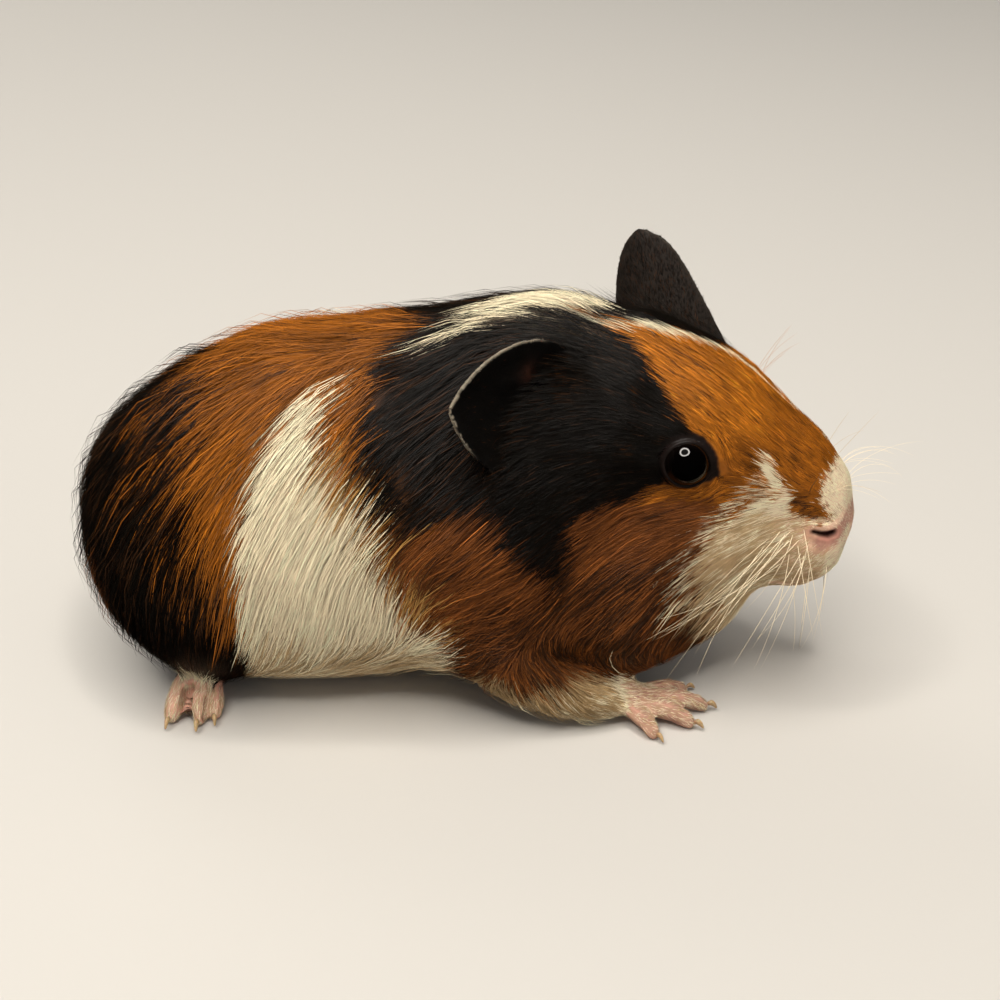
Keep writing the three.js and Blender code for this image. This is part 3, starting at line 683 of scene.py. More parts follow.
def node(tree, kind, inputs=None, **settings):
    """Adds one node with its settings, and links or sets its inputs."""
    made = tree.nodes.new("ShaderNode" + kind)
    for name, value in settings.items():
        setattr(made, name, value)
    for name, value in (inputs or {}).items():
        if isinstance(value, bpy.types.NodeSocket):
            tree.links.new(value, made.inputs[name])
        else:
            made.inputs[name].default_value = value
    return made


def new_material(name):
    """An empty material's node tree and its output."""
    material = bpy.data.materials.new(name)
    material.use_nodes = True
    tree = material.node_tree
    tree.nodes.clear()
    return material, tree, tree.nodes.new("ShaderNodeOutputMaterial")


def hair_material(name, roughness, specular, mottle):
    """Guinea-pig guard hair: smooth keratin with a sheath of flat scales, so a soft streak of
    shine runs along each lock. Each hair's dye comes with the mesh; a fine mottle breaks it up."""
    material, tree, output = new_material(name)
    dye = node(tree, "Attribute", attribute_name="dye")
    place = node(tree, "TexCoord")
    # hairs differ in tone every 1.4 mm, about the width of a lock's tip
    noise = node(tree, "TexNoise", {
        "Vector": place.outputs["Object"], "Scale": 1 / (1.4 * MM), "Detail": 2.0,
    })
    tone = node(tree, "MapRange", {
        "Value": noise.outputs["Fac"], "From Min": 0.25, "From Max": 0.75,
        "To Min": 1 - mottle, "To Max": 1 + mottle,
    })
    colour = node(tree, "VectorMath", {
        0: dye.outputs["Color"], "Scale": tone.outputs["Result"],
    }, operation="SCALE")
    shader = node(tree, "BsdfPrincipled", {
        "Base Color": colour.outputs["Vector"], "Roughness": roughness,
        "Specular IOR Level": specular,
    })
    tree.links.new(shader.outputs["BSDF"], output.inputs["Surface"])
    return material


def skin_material():
    """Living skin, thin and a little moist on the nose and lids, matt and finely creased on the
    feet."""
    material, tree, output = new_material("bare_skin_soft")
    dye = node(tree, "Attribute", attribute_name="dye")
    wet = node(tree, "Attribute", attribute_name="wet")
    place = node(tree, "TexCoord")
    # pores and creases about 0.35 mm apart
    pores = node(tree, "TexNoise", {
        "Vector": place.outputs["Object"], "Scale": 1 / (0.7 * MM), "Detail": 3.0,
    })
    folds = node(tree, "TexVoronoi", {"Vector": place.outputs["Object"], "Scale": 1 / (0.55 * MM)})
    # blood shows through in patches about 2.5 mm across
    flush = node(tree, "TexNoise", {
        "Vector": place.outputs["Object"], "Scale": 1 / (2.5 * MM), "Detail": 2.0,
    })
    tone = node(tree, "MapRange", {
        "Value": flush.outputs["Fac"], "From Min": 0.3, "From Max": 0.7,
        "To Min": 0.82, "To Max": 1.15,
    })
    colour = node(tree, "VectorMath", {
        0: dye.outputs["Color"], "Scale": tone.outputs["Result"],
    }, operation="SCALE")
    rough = node(tree, "MapRange", {"Value": wet.outputs["Fac"], "To Min": 0.62, "To Max": 0.3})
    height = node(tree, "Math", {
        0: pores.outputs["Fac"], 1: folds.outputs["Distance"],
    }, operation="ADD")
    bump = node(tree, "Bump", {
        "Height": height.outputs["Value"], "Strength": 0.35, "Distance": 0.12 * MM,
    })
    shader = node(tree, "BsdfPrincipled", {
        "Base Color": colour.outputs["Vector"], "Roughness": rough.outputs["Result"],
        "Normal": bump.outputs["Normal"], "Specular IOR Level": 0.2, "Subsurface Weight": 0.08,
        "Subsurface Scale": 1.0 * MM, "Subsurface Radius": (1.0, 0.35, 0.2),
    })
    tree.links.new(shader.outputs["BSDF"], output.inputs["Surface"])
    return material


def eye_material():
    """A wet cornea over a dark brown iris: black but for a mirror-sharp highlight."""
    material, tree, output = new_material("eye_cornea_wet")
    off_pupil = node(tree, "Attribute", attribute_name="off_pupil")
    place = node(tree, "TexCoord")
    # iris fibres about 0.3 mm apart
    fibres = node(tree, "TexNoise", {
        "Vector": place.outputs["Object"], "Scale": 1 / (0.6 * MM), "Detail": 3.0,
    })
    wander = node(tree, "Math", {
        0: fibres.outputs["Fac"], 1: 0.08, 2: -0.04,
    }, operation="MULTIPLY_ADD")
    ring = node(tree, "Math", {
        0: off_pupil.outputs["Fac"], 1: wander.outputs["Value"],
    }, operation="ADD")
    # from the pupil's middle out: pupil, its edge, iris, and the iris's dark border
    iris = node(tree, "ValToRGB", {"Fac": ring.outputs["Value"]})
    stops = iris.color_ramp.elements
    wanted = (
        (0.0, "#020202"), (0.45, "#030202"), (0.56, "#080504"), (0.8, "#060403"), (0.95, "#040303"),
    )
    while len(stops) < len(wanted):
        stops.new(0.5)
    for stop, (position, text) in zip(stops, wanted):
        stop.position = position
        stop.color = linear(text)
    shader = node(tree, "BsdfPrincipled", {
        "Base Color": iris.outputs["Color"], "Roughness": 0.4, "Specular IOR Level": 0.0,
        "Coat Weight": 1.0, "Coat Roughness": 0.02, "Coat IOR": 1.45,
    })
    tree.links.new(shader.outputs["BSDF"], output.inputs["Surface"])
    return material


def horn_material():
    """Claw horn, grown in fine layers: translucent and pale, darker and pinker at the root."""
    material, tree, output = new_material("claw_horn_grown")
    dye = node(tree, "Attribute", attribute_name="dye")
    place = node(tree, "TexCoord")
    # growth layers 0.2 mm apart
    layers = node(tree, "TexNoise", {
        "Vector": place.outputs["Object"], "Scale": 1 / (0.4 * MM), "Detail": 2.0,
    })
    tone = node(tree, "MapRange", {
        "Value": layers.outputs["Fac"], "From Min": 0.3, "From Max": 0.7,
        "To Min": 0.8, "To Max": 1.12,
    })
    colour = node(tree, "VectorMath", {
        0: dye.outputs["Color"], "Scale": tone.outputs["Result"],
    }, operation="SCALE")
    bump = node(tree, "Bump", {
        "Height": layers.outputs["Fac"], "Strength": 0.2, "Distance": 0.05 * MM,
    })
    shader = node(tree, "BsdfPrincipled", {
        "Base Color": colour.outputs["Vector"], "Roughness": 0.34, "IOR": 1.54,
        "Normal": bump.outputs["Normal"], "Subsurface Weight": 0.2, "Subsurface Scale": 0.6 * MM,
    })
    tree.links.new(shader.outputs["BSDF"], output.inputs["Surface"])
    return material


def floor_material(colour):
    """Studio paper, uncoated: matt and even, with the faintest tooth."""
    material, tree, output = new_material("studio_paper_matt")
    place = node(tree, "TexCoord")
    # paper tooth 1.5 mm across
    tooth = node(tree, "TexNoise", {
        "Vector": place.outputs["Object"], "Scale": 1 / (3 * MM), "Detail": 3.0,
    })
    bump = node(tree, "Bump", {
        "Height": tooth.outputs["Fac"], "Strength": 0.1, "Distance": 0.1 * MM,
    })
    shader = node(tree, "BsdfPrincipled", {
        "Base Color": (*colour, 1.0), "Roughness": 0.85, "Specular IOR Level": 0.2,
        "Normal": bump.outputs["Normal"],
    })
    tree.links.new(shader.outputs["BSDF"], output.inputs["Surface"])
    return material


# ---- settings ----


class GuineaPigSkin(bpy.types.PropertyGroup):
    grain: FloatProperty(
        name="Mesh spacing",
        description="Width of the skin mesh's cells",
        default=0.0005, min=0.0003, unit="LENGTH",
    )
    swell: FloatProperty(
        name="Swelling",
        description="How far the solids swell to close the cuts between them",
        default=0.0004, unit="LENGTH",
    )
    thinning: FloatProperty(
        name="Thinning",
        description="Share of the faces kept where the coat hides the skin",
        default=0.3, min=0.05, max=1.0, subtype="FACTOR",
    )
    lid: FloatProperty(
        name="Lid thickness",
        description="Thickness of the eyelids over the eyeball",
        default=0.0003, unit="LENGTH",
    )
    ear_rim: FloatProperty(
        name="Ear rim",
        description="Half the thickness of the ears' rims",
        default=0.00022, unit="LENGTH",
    )


class GuineaPigCoat(bpy.types.PropertyGroup):
    layers: FloatProperty(
        name="Layers",
        description="How many hairs lie over each place",
        default=2.95, min=0.5,
    )
    fine: FloatProperty(
        name="Finest hair",
        description="Width of the shortest hairs at the root",
        default=0.00007, unit="LENGTH",
    )
    thicken: FloatProperty(
        name="Thickening",
        description="Width a hair gains for its length",
        default=0.0064, min=0.0,
    )
    lock: FloatProperty(
        name="Locks",
        description="How far the hairs of a lock draw together at their tips",
        default=0.18, min=0.0, max=1.0, subtype="FACTOR",
    )
    stray: FloatProperty(
        name="Strays",
        description="Spread of the hairs' directions, in radians",
        default=0.07, min=0.0,
    )
    seed: IntProperty(name="Seed", description="Start of the random draws", default=7)


class GuineaPigWhiskers(bpy.types.PropertyGroup):
    length: FloatProperty(
        name="Longest whisker",
        description="Length of the longest whiskers",
        default=0.036, unit="LENGTH",
    )
    width: FloatProperty(
        name="Whisker width",
        description="Width of a long whisker at its root",
        default=0.00012, unit="LENGTH",
    )
    seed: IntProperty(name="Seed", description="Start of the random draws", default=3)


class GuineaPigStudio(bpy.types.PropertyGroup):
    floor: FloatVectorProperty(
        name="Floor",
        description="Colour of the floor", subtype="COLOR",
        default=linear("#CBC8C3")[:3], min=0.0, max=1.0,
    )
    distance: FloatProperty(
        name="Camera distance",
        description="From the camera to the middle of the body",
        default=0.34, unit="LENGTH",
    )
    elevation: FloatProperty(
        name="Camera elevation",
        description="The camera's angle above the floor",
        default=math.radians(28), subtype="ANGLE",
    )
    lens: FloatProperty(name="Lens", description="Focal length on a 36 mm sensor", default=64.8)
    key: FloatProperty(
        name="Key light",
        description="Power of the overhead lamp, in watts",
        default=6.2,
    )
    fill: FloatProperty(name="Fill light", description="Strength of the room's light", default=0.42)


# ---- the skin ----

FLESH = tuple(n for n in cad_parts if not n.startswith(("eye_", "foreclaw_", "hindclaw_")))
COATED = ("neck", "trunk", "foreleg_right", "foreleg_left", "hindleg_right", "hindleg_left")
FINE_ROUND_EYE = 7.0  # millimetres from an eye's middle within which the skin has small faces
FINE_ROUND_NOSE = 10.0
NOSE = (41.5, 0, -15)
HEAD_BOTTOM = 15.0  # height over which skin belongs to the head and not to the chest under it
TOE_CLEFT = ((1, 0.3), (3.5, 1.5), (7, 2.2))  # back from the web and up
OFF_THE_EARS = 99.0  # stands for no rim near

# Places on the right half of the nose, in the head's frame, with radii.
NOSTRIL = (
    (37.3, -8.9, -13.8, 0.1), (38.6, -8.4, -14.4, 0.2), (39.8, -7.5, -14.8, 0.35),
    (40.7, -6.5, -14.7, 0.3),
)
NOSE_PAD = (
    (43.9, 0, -12.8, 1.7), (42.9, -3.4, -13.4, 1.5), (41.3, -6.2, -15.4, 1.5),
    (38.8, -8.4, -16.0, 1.1),
)
LIP_MIDDLE = ((43.2, 0, -16.2, 1.7), (41.4, 0, -19.5, 1.0))
CLEFT = ((44.5, 0, -15.0, 0.3), (42.8, 0, -19.5, 0.3), (39.5, 0, -23.0, 0.3))
MOUTH = ((41.0, 0, -22.0, 0.3), (37.6, -4.2, -24.0, 0.3), (31.5, -7.6, -25.2, 0.3))
WING = ((41.2, -7.0, -11.9, 0.3), (39.0, -8.6, -11.9, 0.3), (36.9, -9.2, -11.2, 0.3))


def right_half(points):
    """Points in the head's frame, with the left half laid over the right."""
    local = to_head(points)
    local[:, 1] = -np.abs(local[:, 1])
    return local


def off_nose_pad(half):
    """The distance from the bare pad of the nose and the middle of the lip."""
    return np.minimum(to_path(half, NOSE_PAD), to_path(half, LIP_MIDDLE))


def bare_places(points):
    """How bare each point is and its dye: nose pad, lips, nostrils, and the lids of either eye."""
    half = right_half(points)
    pad = off_nose_pad(half) + 0.25 * ripple(points, 1.2)
    places = [
        (ramp(pad, 0.8, -0.3), DYE["nose"]),
        (0.55 * ramp(to_path(half, MOUTH), 1.6, 0.4), DYE["nose"]),
        (0.25 * ramp(to_path(half, NOSTRIL), 1.8, 0.6), DYE["raw"]),
    ]
    for eye in eyes_of_head():
        reach, angle, opening = seen_from_eye(points, eye)
        lid = ramp(reach, EYE_RADIUS + 1.6, EYE_RADIUS + 0.9)
        places.append((lid * ramp(angle, opening + 22, opening + 15), DYE["lid"]))
    return places


def laid_on(half, path):
    """The path, with each of its places moved to the nearest of the points."""
    return [
        (*half[np.argmin(np.linalg.norm(half - place, axis=1))], radius) for *place, radius in path
    ]


def carve(points, normals, half, path, depth, width):
    """Presses a groove into the surface along a path."""
    gap = to_path(half, laid_on(half, path))
    return points - normals * (depth * np.exp(-((np.maximum(gap, 0) / width) ** 2)))[:, None]


def subdivide(piece, chosen):
    """Splits the faces of the piece whose corners are all chosen."""
    only(piece)
    mesh = piece.data
    loops = fetch(mesh.loops, "vertex_index", np.int64)
    starts = fetch(mesh.polygons, "loop_start", np.int64)
    for kind in (mesh.vertices, mesh.edges):
        kind.foreach_set("select", np.zeros(len(kind), bool))
    mesh.polygons.foreach_set("select", np.logical_and.reduceat(chosen[loops], starts))
    bpy.ops.object.mode_set(mode="EDIT")
    bpy.ops.mesh.select_mode(type="FACE")
    bpy.ops.mesh.subdivide(number_cuts=1)
    bpy.ops.object.mode_set(mode="OBJECT")


class GUINEAPIG_OT_skin(bpy.types.Operator):
    """Builds the one skin under the coat, with its lids, nostrils, mouth and ear folds"""

    bl_idname = "guineapig.skin"
    bl_label = "Skin"

    def execute(self, context):
        sizes = context.scene.guinea_pig_skin
        parts = FLESH + ("eye_right", "eye_left")
        skin = joined_copies(parts, "skin")
        mesh = skin.data
        modify(skin, "DISPLACE", strength=sizes.swell, mid_level=0.0)
        modify(skin, "REMESH", mode="VOXEL", voxel_size=sizes.grain)

        # Few faces where the coat hides the skin, many on the face and the ears.
        part = nearest_nodes(coordinates(mesh), parts)
        plain = np.isin(part, COATED)
        plain |= (part == "head") & (to_head(coordinates(mesh))[:, 0] < 4)
        skin.vertex_groups.new(name="hidden").add(np.flatnonzero(plain).tolist(), 1.0, "REPLACE")
        modify(skin, "DECIMATE", ratio=sizes.thinning, vertex_group="hidden")
        part = nearest_nodes(coordinates(mesh), parts)
        self.draw_in(mesh, part, sizes.swell / MM)
        points = coordinates(mesh)
        fine = named(part, "ear")
        fine |= np.linalg.norm(points - from_head(NOSE), axis=1) < FINE_ROUND_NOSE
        for eye in eyes_of_head():
            fine |= np.linalg.norm(points - eye[0], axis=1) < FINE_ROUND_EYE
        subdivide(skin, fine)

        part = nearest_nodes(coordinates(mesh), parts)
        self.part_toes(mesh)
        self.shape_face(mesh, sizes.lid / MM)
        self.shape_ears(mesh, part, sizes.ear_rim / MM)
        self.colour(mesh, part)
        on_whole(skin, bpy.ops.uv.smart_project, angle_limit=1.15, island_margin=0.004)
        mesh.uv_layers[0].name = "Unwrap"
        finish_piece(skin, skin_material(), "foot_skin", *FLESH)
        return {"FINISHED"}

    def draw_in(self, mesh, part, swell):
        """Moves the surface in by the coat's depth, and by a little on ears and feet."""
        points = coordinates(mesh)
        edges = edges_of(mesh)
        depth = combed(points)[2]
        feet = named(part, "foot")
        depth[feet] = depth[feet].clip(0, 0.2)
        depth[named(part, "ear")] = 0.1
        depth[named(part, "eye")] = 0.0
        depth = spread(depth, edges, 24)
        points = points - vertex_normals(mesh) * (depth + swell)[:, None]
        # The facets are smoothed away with no shrinking, apart from the toes and the ears' flaps.
        own_shape = feet.copy()
        for name, ear in EARS.items():
            own_shape |= (part == name) & (on_ear(points, ear)[0] > 0.16)
        face = ramp(to_head(points)[:, 0], 2, 10) * (points[:, 2] > HEAD_BOTTOM)
        for rounds, where in ((14, 1.0), (30, face)):
            once = spread(points, edges, rounds)
            smooth = 2 * once - spread(once, edges, rounds)
            loose = spread(np.where(own_shape, 0.0, where), edges, 4)
            points = points + (smooth - points) * loose[:, None]
        set_coordinates(mesh, points)
        for name in ("ear", "foot"):
            set_values(mesh, name, named(part, name))

    def part_toes(self, mesh):
        """Presses clefts between the toes of the hind feet."""
        points = coordinates(mesh)
        normals = vertex_normals(mesh)
        for side in ("right", "left"):
            toes = [np.mean(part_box(f"hindclaw_{side}_{k}"), 0) / MM for k in (1, 2, 3)]
            middle = np.mean(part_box(f"hindfoot_{side}"), 0) / MM
            for a, b in zip(toes[:-1], toes[1:]):
                web = (a + b) / 2
                back = unit((middle - web) * (1, 1, 0))
                cleft = [(*(web + back * far + (0, 0, up)), 0.1) for far, up in TOE_CLEFT]
                gap = np.linalg.norm(a - b)
                points = carve(points, normals, points, cleft, 0.36 * gap, 0.16 * gap)
        set_coordinates(mesh, points)

    def shape_face(self, mesh, thickness):
        """Carves the nose and mouth, and draws the lids over the eyeballs."""
        points = coordinates(mesh)
        muzzle = (ramp(to_head(points)[:, 0], 26, 31) * (points[:, 2] > HEAD_BOTTOM))[:, None]
        points = points + (spread(points, edges_of(mesh), 4) - points) * muzzle
        set_coordinates(mesh, points)
        normals = vertex_normals(mesh)
        half = right_half(points)
        for path, depth, width in ((WING, 0.25, 0.45), (CLEFT, 0.55, 0.45), (MOUTH, 0.7, 0.5)):
            points = carve(points, normals, half, path, depth, width)
        rim = to_path(half, laid_on(half, NOSTRIL))
        points = points + normals * (0.15 * np.exp(-(((rim - 0.8) / 0.5) ** 2)))[:, None]
        points = points - normals * (0.8 * ramp(rim, 0.5, -0.3))[:, None]
        # the nostrils' openings, which colour() darkens as painted shade
        set_values(mesh, "nostril", ramp(rim, 0.6, -0.1))
        for eye in eyes_of_head():
            reach, angle, opening = seen_from_eye(points, eye)
            over = (angle - opening) / 3
            edge = EYE_RADIUS + np.interp(over, (-1, 0, 1), (-0.6, 0.0, thickness))
            hold = ramp(reach, EYE_RADIUS + 1.3, EYE_RADIUS + 0.6)
            hold = np.where(angle < opening, ramp(reach, EYE_RADIUS + 2.6, EYE_RADIUS + 2.0), hold)
            hold *= angle < 130
            fold = 0.15 * np.exp(-(((reach - EYE_RADIUS - 1.3) / 0.4) ** 2)) * (angle > opening)
            wanted = eye[0] + (points - eye[0]) / reach[:, None] * edge[:, None]
            fold = normals * (fold * (1 - hold))[:, None]
            points = points + (wanted - points) * hold[:, None] - fold
        set_coordinates(mesh, points)

    def shape_ears(self, mesh, part, rim):
        """Draws each ear onto its own thin shell, and lays folds in its hollow."""
        points = coordinates(mesh)
        edges = edges_of(mesh)
        for name, ear in EARS.items():
            mine = part == name
            shell = ear_shell(ear, rim)
            hold = ramp(on_ear(points[mine], ear)[0], 0.08, 0.25)[:, None]
            for rounds in (0, 2, 0):
                smooth = spread(points, edges, rounds)[mine]
                wanted = np.array([shell.find_nearest(p)[0] for p in smooth.tolist()])
                points[mine] += (wanted - points[mine]) * hold
            v, u, height, _ = on_ear(points[mine], ear)
            folds = 0.7 * np.exp(-(((u - 0.42) / 0.13) ** 2))
            folds += 0.4 * np.exp(-(((u + 0.3) / 0.12) ** 2))
            folds *= ramp(v, 0.75, 0.3) * (height > 0)
            points[mine] += (folds * hold[:, 0])[:, None] * ear_axes(ear)[3]
        set_coordinates(mesh, points)
        # Each place's distance from the ears' rims, which are where the flap turns over.
        normals = vertex_normals(mesh)
        rims = np.zeros(len(points), bool)
        for name, ear in EARS.items():
            v, _, _, edge = on_ear(points, ear)
            turned = np.abs(normals @ ear_axes(ear)[3]) < 0.5
            rims |= (part == name) & (v > 0.02) & (edge < 1.5) & turned
        tree = nearest_of(points[rims])
        away = np.full(len(points), OFF_THE_EARS)
        flap = named(part, "ear")
        away[flap] = [tree.find(p)[2] for p in points[flap].tolist()]
        set_values(mesh, "off_rim", away)

    def colour(self, mesh, part):
        """Dyes the skin as the hair over it and its bare places as themselves, with painted shade
        inside the nostrils and on the forefeet, and the ears' black hollows darkened further as
        painted shade.
        """
        points = coordinates(mesh)
        names = marked(points)
        dyes = np.stack([DYE[n] for n in names])
        pale = np.isin(names, ("cream", "buff"))
        face = (ramp(to_head(points)[:, 0], 27, 34) * pale)[:, None]
        dyes += (DYE["pink"] * 0.95 - dyes) * (0.12 * pale[:, None] + 0.55 * face)
        dyes = spread(dyes, edges_of(mesh), 2)
        off_rim = values_of(mesh, "off_rim")
        # the nostrils' insides are darkened as painted shade
        bare = bare_places(points) + [(values_of(mesh, "nostril"), DYE["nostril"])]
        for share, own in bare:
            dyes += (own - dyes) * share[:, None]
        foot = named(part, "foot")
        flush = ramp(ripple(points[foot], 3.0), -0.2, 0.8)[:, None]
        dyes[foot] = DYE["pink"] + (DYE["raw"] - DYE["pink"]) * 0.35 * flush
        # painted shade: the forefeet darker than the hind feet
        dyes[named(part, "forefoot")] *= 0.75
        for name, ear in EARS.items():
            mine = part == name
            v, u, height, _ = on_ear(points[mine], ear)
            # the hollow's black skin is darkened further as painted shade
            inside = ramp(height, -0.1, 0.25)[:, None]
            dye = DYE["ear"] + (DYE["hollow"] - DYE["ear"]) * inside
            warm = np.exp(-(((u - 0.5) / 0.16) ** 2) - ((v - 0.24) / 0.1) ** 2)[:, None] * inside
            dye += (DYE["fold"] - dye) * warm
            rim = (ear["pale"] * ramp(off_rim[mine], 0.4, 0.08) * rim_shows(v, u))[:, None]
            dyes[mine] = dye + (DYE["rim"] - dye) * rim
        paint(mesh, "dye", dyes)
        wet = np.zeros(len(points))
        for (share, _), shine in zip(bare, (0.6, 0.0, 0.5, 0.8, 0.8, 0.2)):
            wet = np.maximum(wet, share * shine)
        set_values(mesh, "wet", wet)


# ---- eyes and claws ----

CORNEA = 0.22  # millimetres by which the cornea bulges out of the ball
CORNEA_EDGE = (math.radians(62), math.radians(20))  # from its foot to its full height
TOE_END = 3.6  # millimetres from a claw's middle that the end of its toe reaches


class GUINEAPIG_OT_eyes(bpy.types.Operator):
    """Builds the two eyeballs, each with a bulging cornea"""

    bl_idname = "guineapig.eyes"
    bl_label = "Eyes"

    def execute(self, context):
        material = eye_material()
        for name, (centre, look, _, _) in zip(("eye_right", "eye_left"), eyes_of_head()):
            bpy.ops.object.select_all(action="DESELECT")
            bpy.ops.mesh.primitive_uv_sphere_add(
                segments=64, ring_count=40, radius=EYE_RADIUS * MM, location=(0, 0, 0)
            )
            ball = bpy.context.object
            ball.name = ball.data.name = name.replace("eye", "eyeball")
            points = coordinates(ball.data)
            turn = np.array(Vector((0, 0, 1)).rotation_difference(Vector(look)).to_matrix())
            points = points @ turn.T
            away = np.arccos(np.clip(unit(points) @ look, -1, 1))
            bulge = CORNEA * ramp(away, *CORNEA_EDGE)
            set_coordinates(ball.data, points * (1 + bulge / EYE_RADIUS)[:, None] + centre)
            set_values(ball.data, "off_pupil", (away / math.radians(90)).clip(0, 1))
            finish_piece(ball, material, "eye", name)
        return {"FINISHED"}


class GUINEAPIG_OT_claws(bpy.types.Operator):
    """Builds the fourteen claws as smooth, curved horn"""

    bl_idname = "guineapig.claws"
    bl_label = "Claws"

    def execute(self, context):
        names = tuple(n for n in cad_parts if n.startswith(("foreclaw_", "hindclaw_")))
        claws = joined_copies(names, "claws")
        modify(claws, "SUBSURF", levels=2, render_levels=2)
        points = coordinates(claws.data)
        owner = nearest_nodes(points, names)
        dyes = np.empty((len(points), 3))
        for name in names:
            mine = owner == name
            middle = np.mean(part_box(name), 0) / MM
            foot = coordinates(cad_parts[name[:4] + "foot_" + name.split("_")[1]].data)
            core = foot[np.linalg.norm(foot - middle, axis=1) < TOE_END].mean(0)
            outward = unit(middle - core)
            t = (points[mine] - middle) @ outward
            t = (t - t.min()) / np.ptp(t)
            # the root reaches into the toe
            points[mine] += (core - points[mine]) * (0.6 * ramp(t, 0.55, 0.0))[:, None]
            tip = ramp(t, 0.0, 0.6)[:, None]
            dyes[mine] = DYE["horn_root"] + (DYE["horn_tip"] - DYE["horn_root"]) * tip
        set_coordinates(claws.data, points)
        paint(claws.data, "dye", dyes)
        finish_piece(claws, horn_material(), "claw", *names)
        return {"FINISHED"}


# ---- the coat ----

FACES_MOST = 190000  # triangles in one coat piece
PATCH = 0.003  # side of a hair's own patch in the map, as a share of the map's
ROUNDNESS = {"ginger": 0.75, "black": 0.8, "cream": 0.35}  # how far a hair is lit as a round one
# How much hairs of each dye differ in tone.
VARIETY = {
    "ginger": 0.36, "amber": 0.38, "rust": 0.38, "tan": 0.2, "fawn": 0.25, "black": 0.25,
    "sable": 0.3, "ash": 0.3, "cream": 0.06, "buff": 0.12,
}
HAIR_COVER = 0.62  # the share of its length times its width that a tapering hair covers
GUARD_SHARE = 0.08  # longer, thicker hairs that stand over the rest
GUARD_GROWTH = 1.15
WAVY = 0.28  # height of the waves in millimetres over which a hair is built in four steps
WAVE_TURN = 6.3  # radians, about one turn
STEPS_PLAIN, STEPS_WAVY = 2, 4
UNDERSIDE = 0.45  # share of the hairs that grow where the body rests on the floor
HAIR_FLOOR = 0.1  # millimetres over the floor at which the lowest hairs lie


class Pelt:
    """The skin's surface, to grow hairs from and lay them along."""

    def __init__(self, skin):
        mesh = skin.data
        mesh.calc_loop_triangles()
        self.points = coordinates(mesh)
        self.normals = vertex_normals(mesh)
        self.triangles = fetch(mesh.loop_triangles, "vertices", np.int64, 3)
        loops = fetch(mesh.loop_triangles, "loops", np.int64, 3)
        self.unwrap = fetch(mesh.uv_layers["Unwrap"].uv, "vector", np.float32, 2)[loops]
        self.ear, self.foot, self.off_rim = (
            values_of(mesh, name)[self.triangles].mean(1) for name in ("ear", "foot", "off_rim")
        )
        corners = self.points[self.triangles]
        cross = np.cross(corners[:, 1] - corners[:, 0], corners[:, 2] - corners[:, 0])
        self.areas = np.linalg.norm(cross, axis=1) / 2
        self.middles = corners.mean(1)
        self.lean = unit(self.normals[self.triangles].mean(1))
        self.grounds = {}
        ears = self.ear >= 0.5
        for name, chosen in (("flesh", ~ears), ("ears", ears), ("all", ears | ~ears)):
            index = np.flatnonzero(chosen)
            tree = BVHTree.FromPolygons(self.points.tolist(), self.triangles[index].tolist())
            self.grounds[name] = (tree, index)

    def under(self, ground, points):
        """The nearest place on the ground to each point, and the smooth normal there."""
        tree, index = self.grounds[ground]
        found = [tree.find_nearest(p) for p in points.tolist()]
        places = np.array([f[0] for f in found])
        return places, self.lean[index[[f[2] for f in found]]]

    def roots(self, density, rng):
        """Random places on the surface, so many to the square millimetre of each triangle."""
        wanted = self.areas * density
        count = np.floor(wanted + rng.random(len(wanted))).astype(int)
        index = np.repeat(np.arange(len(wanted)), count)
        a, b = rng.random((2, len(index)))
        flip = a + b > 1
        a[flip], b[flip] = 1 - a[flip], 1 - b[flip]
        shares = np.stack((1 - a - b, a, b), 1)
        corners = self.triangles[index]
        points = (self.points[corners] * shares[:, :, None]).sum(1)
        normals = unit((self.normals[corners] * shares[:, :, None]).sum(1))
        places = (self.unwrap[index] * shares[:, :, None]).sum(1)
        return index, points, normals, places


def round_the_eyes(directions, points):
    """Turns the hair that would lie over an eye so that it passes beside it."""
    for centre, look, _, _ in eyes_of_head():
        off = points - centre
        reach = np.linalg.norm(off, axis=1, keepdims=True)
        side = unit(off - (off @ look)[:, None] * look)
        inward = np.minimum((directions * side).sum(1, keepdims=True), 0)
        directions = directions - side * inward * ramp(reach, 11.0, 6.5)
    return unit(directions)


def body_lie(points):
    """The way the body's coat lies at each point."""
    return round_the_eyes(combed(points)[0], points)


def march(pelt, ground, roots, normals, lengths, lift, spins, steps, comb):
    """Lays hairs along the ground in so many steps, the way that comb gives, turned by spins and
    lifted off it. Returns their paths and the normals along them."""
    stops = np.linspace(0, 1, steps + 1) ** 0.9
    path = [roots - normals * 0.15]
    leans = [normals]
    now = roots
    for before, after in zip(stops[:-1], stops[1:]):
        way = comb(now)
        lean = leans[-1]
        side = unit(np.cross(lean, way))
        way = unit(way + side * spins[:, None])
        way = unit(way - lean * (way * lean).sum(1, keepdims=True))
        ahead = now + way * (lengths * (after - before))[:, None]
        place, lean = pelt.under(ground, ahead)
        height = lift * math.sin(0.5 * math.pi * after**0.6)
        now = place
        path.append(place + lean * height[:, None])
        leans.append(lean)
    return np.stack(path, 1), np.stack(leans, 1)


def shorten(paths, keep):
    """Paths cut back to a share of their length, with the same number of points."""
    steps = paths.shape[1] - 1
    at = np.linspace(0, 1, steps + 1)[None] * keep[:, None] * steps
    low = np.minimum(at.astype(int), steps - 1)
    part = (at - low)[:, :, None]
    rows = np.arange(len(paths))[:, None]
    return paths[rows, low] * (1 - part) + paths[rows, low + 1] * part


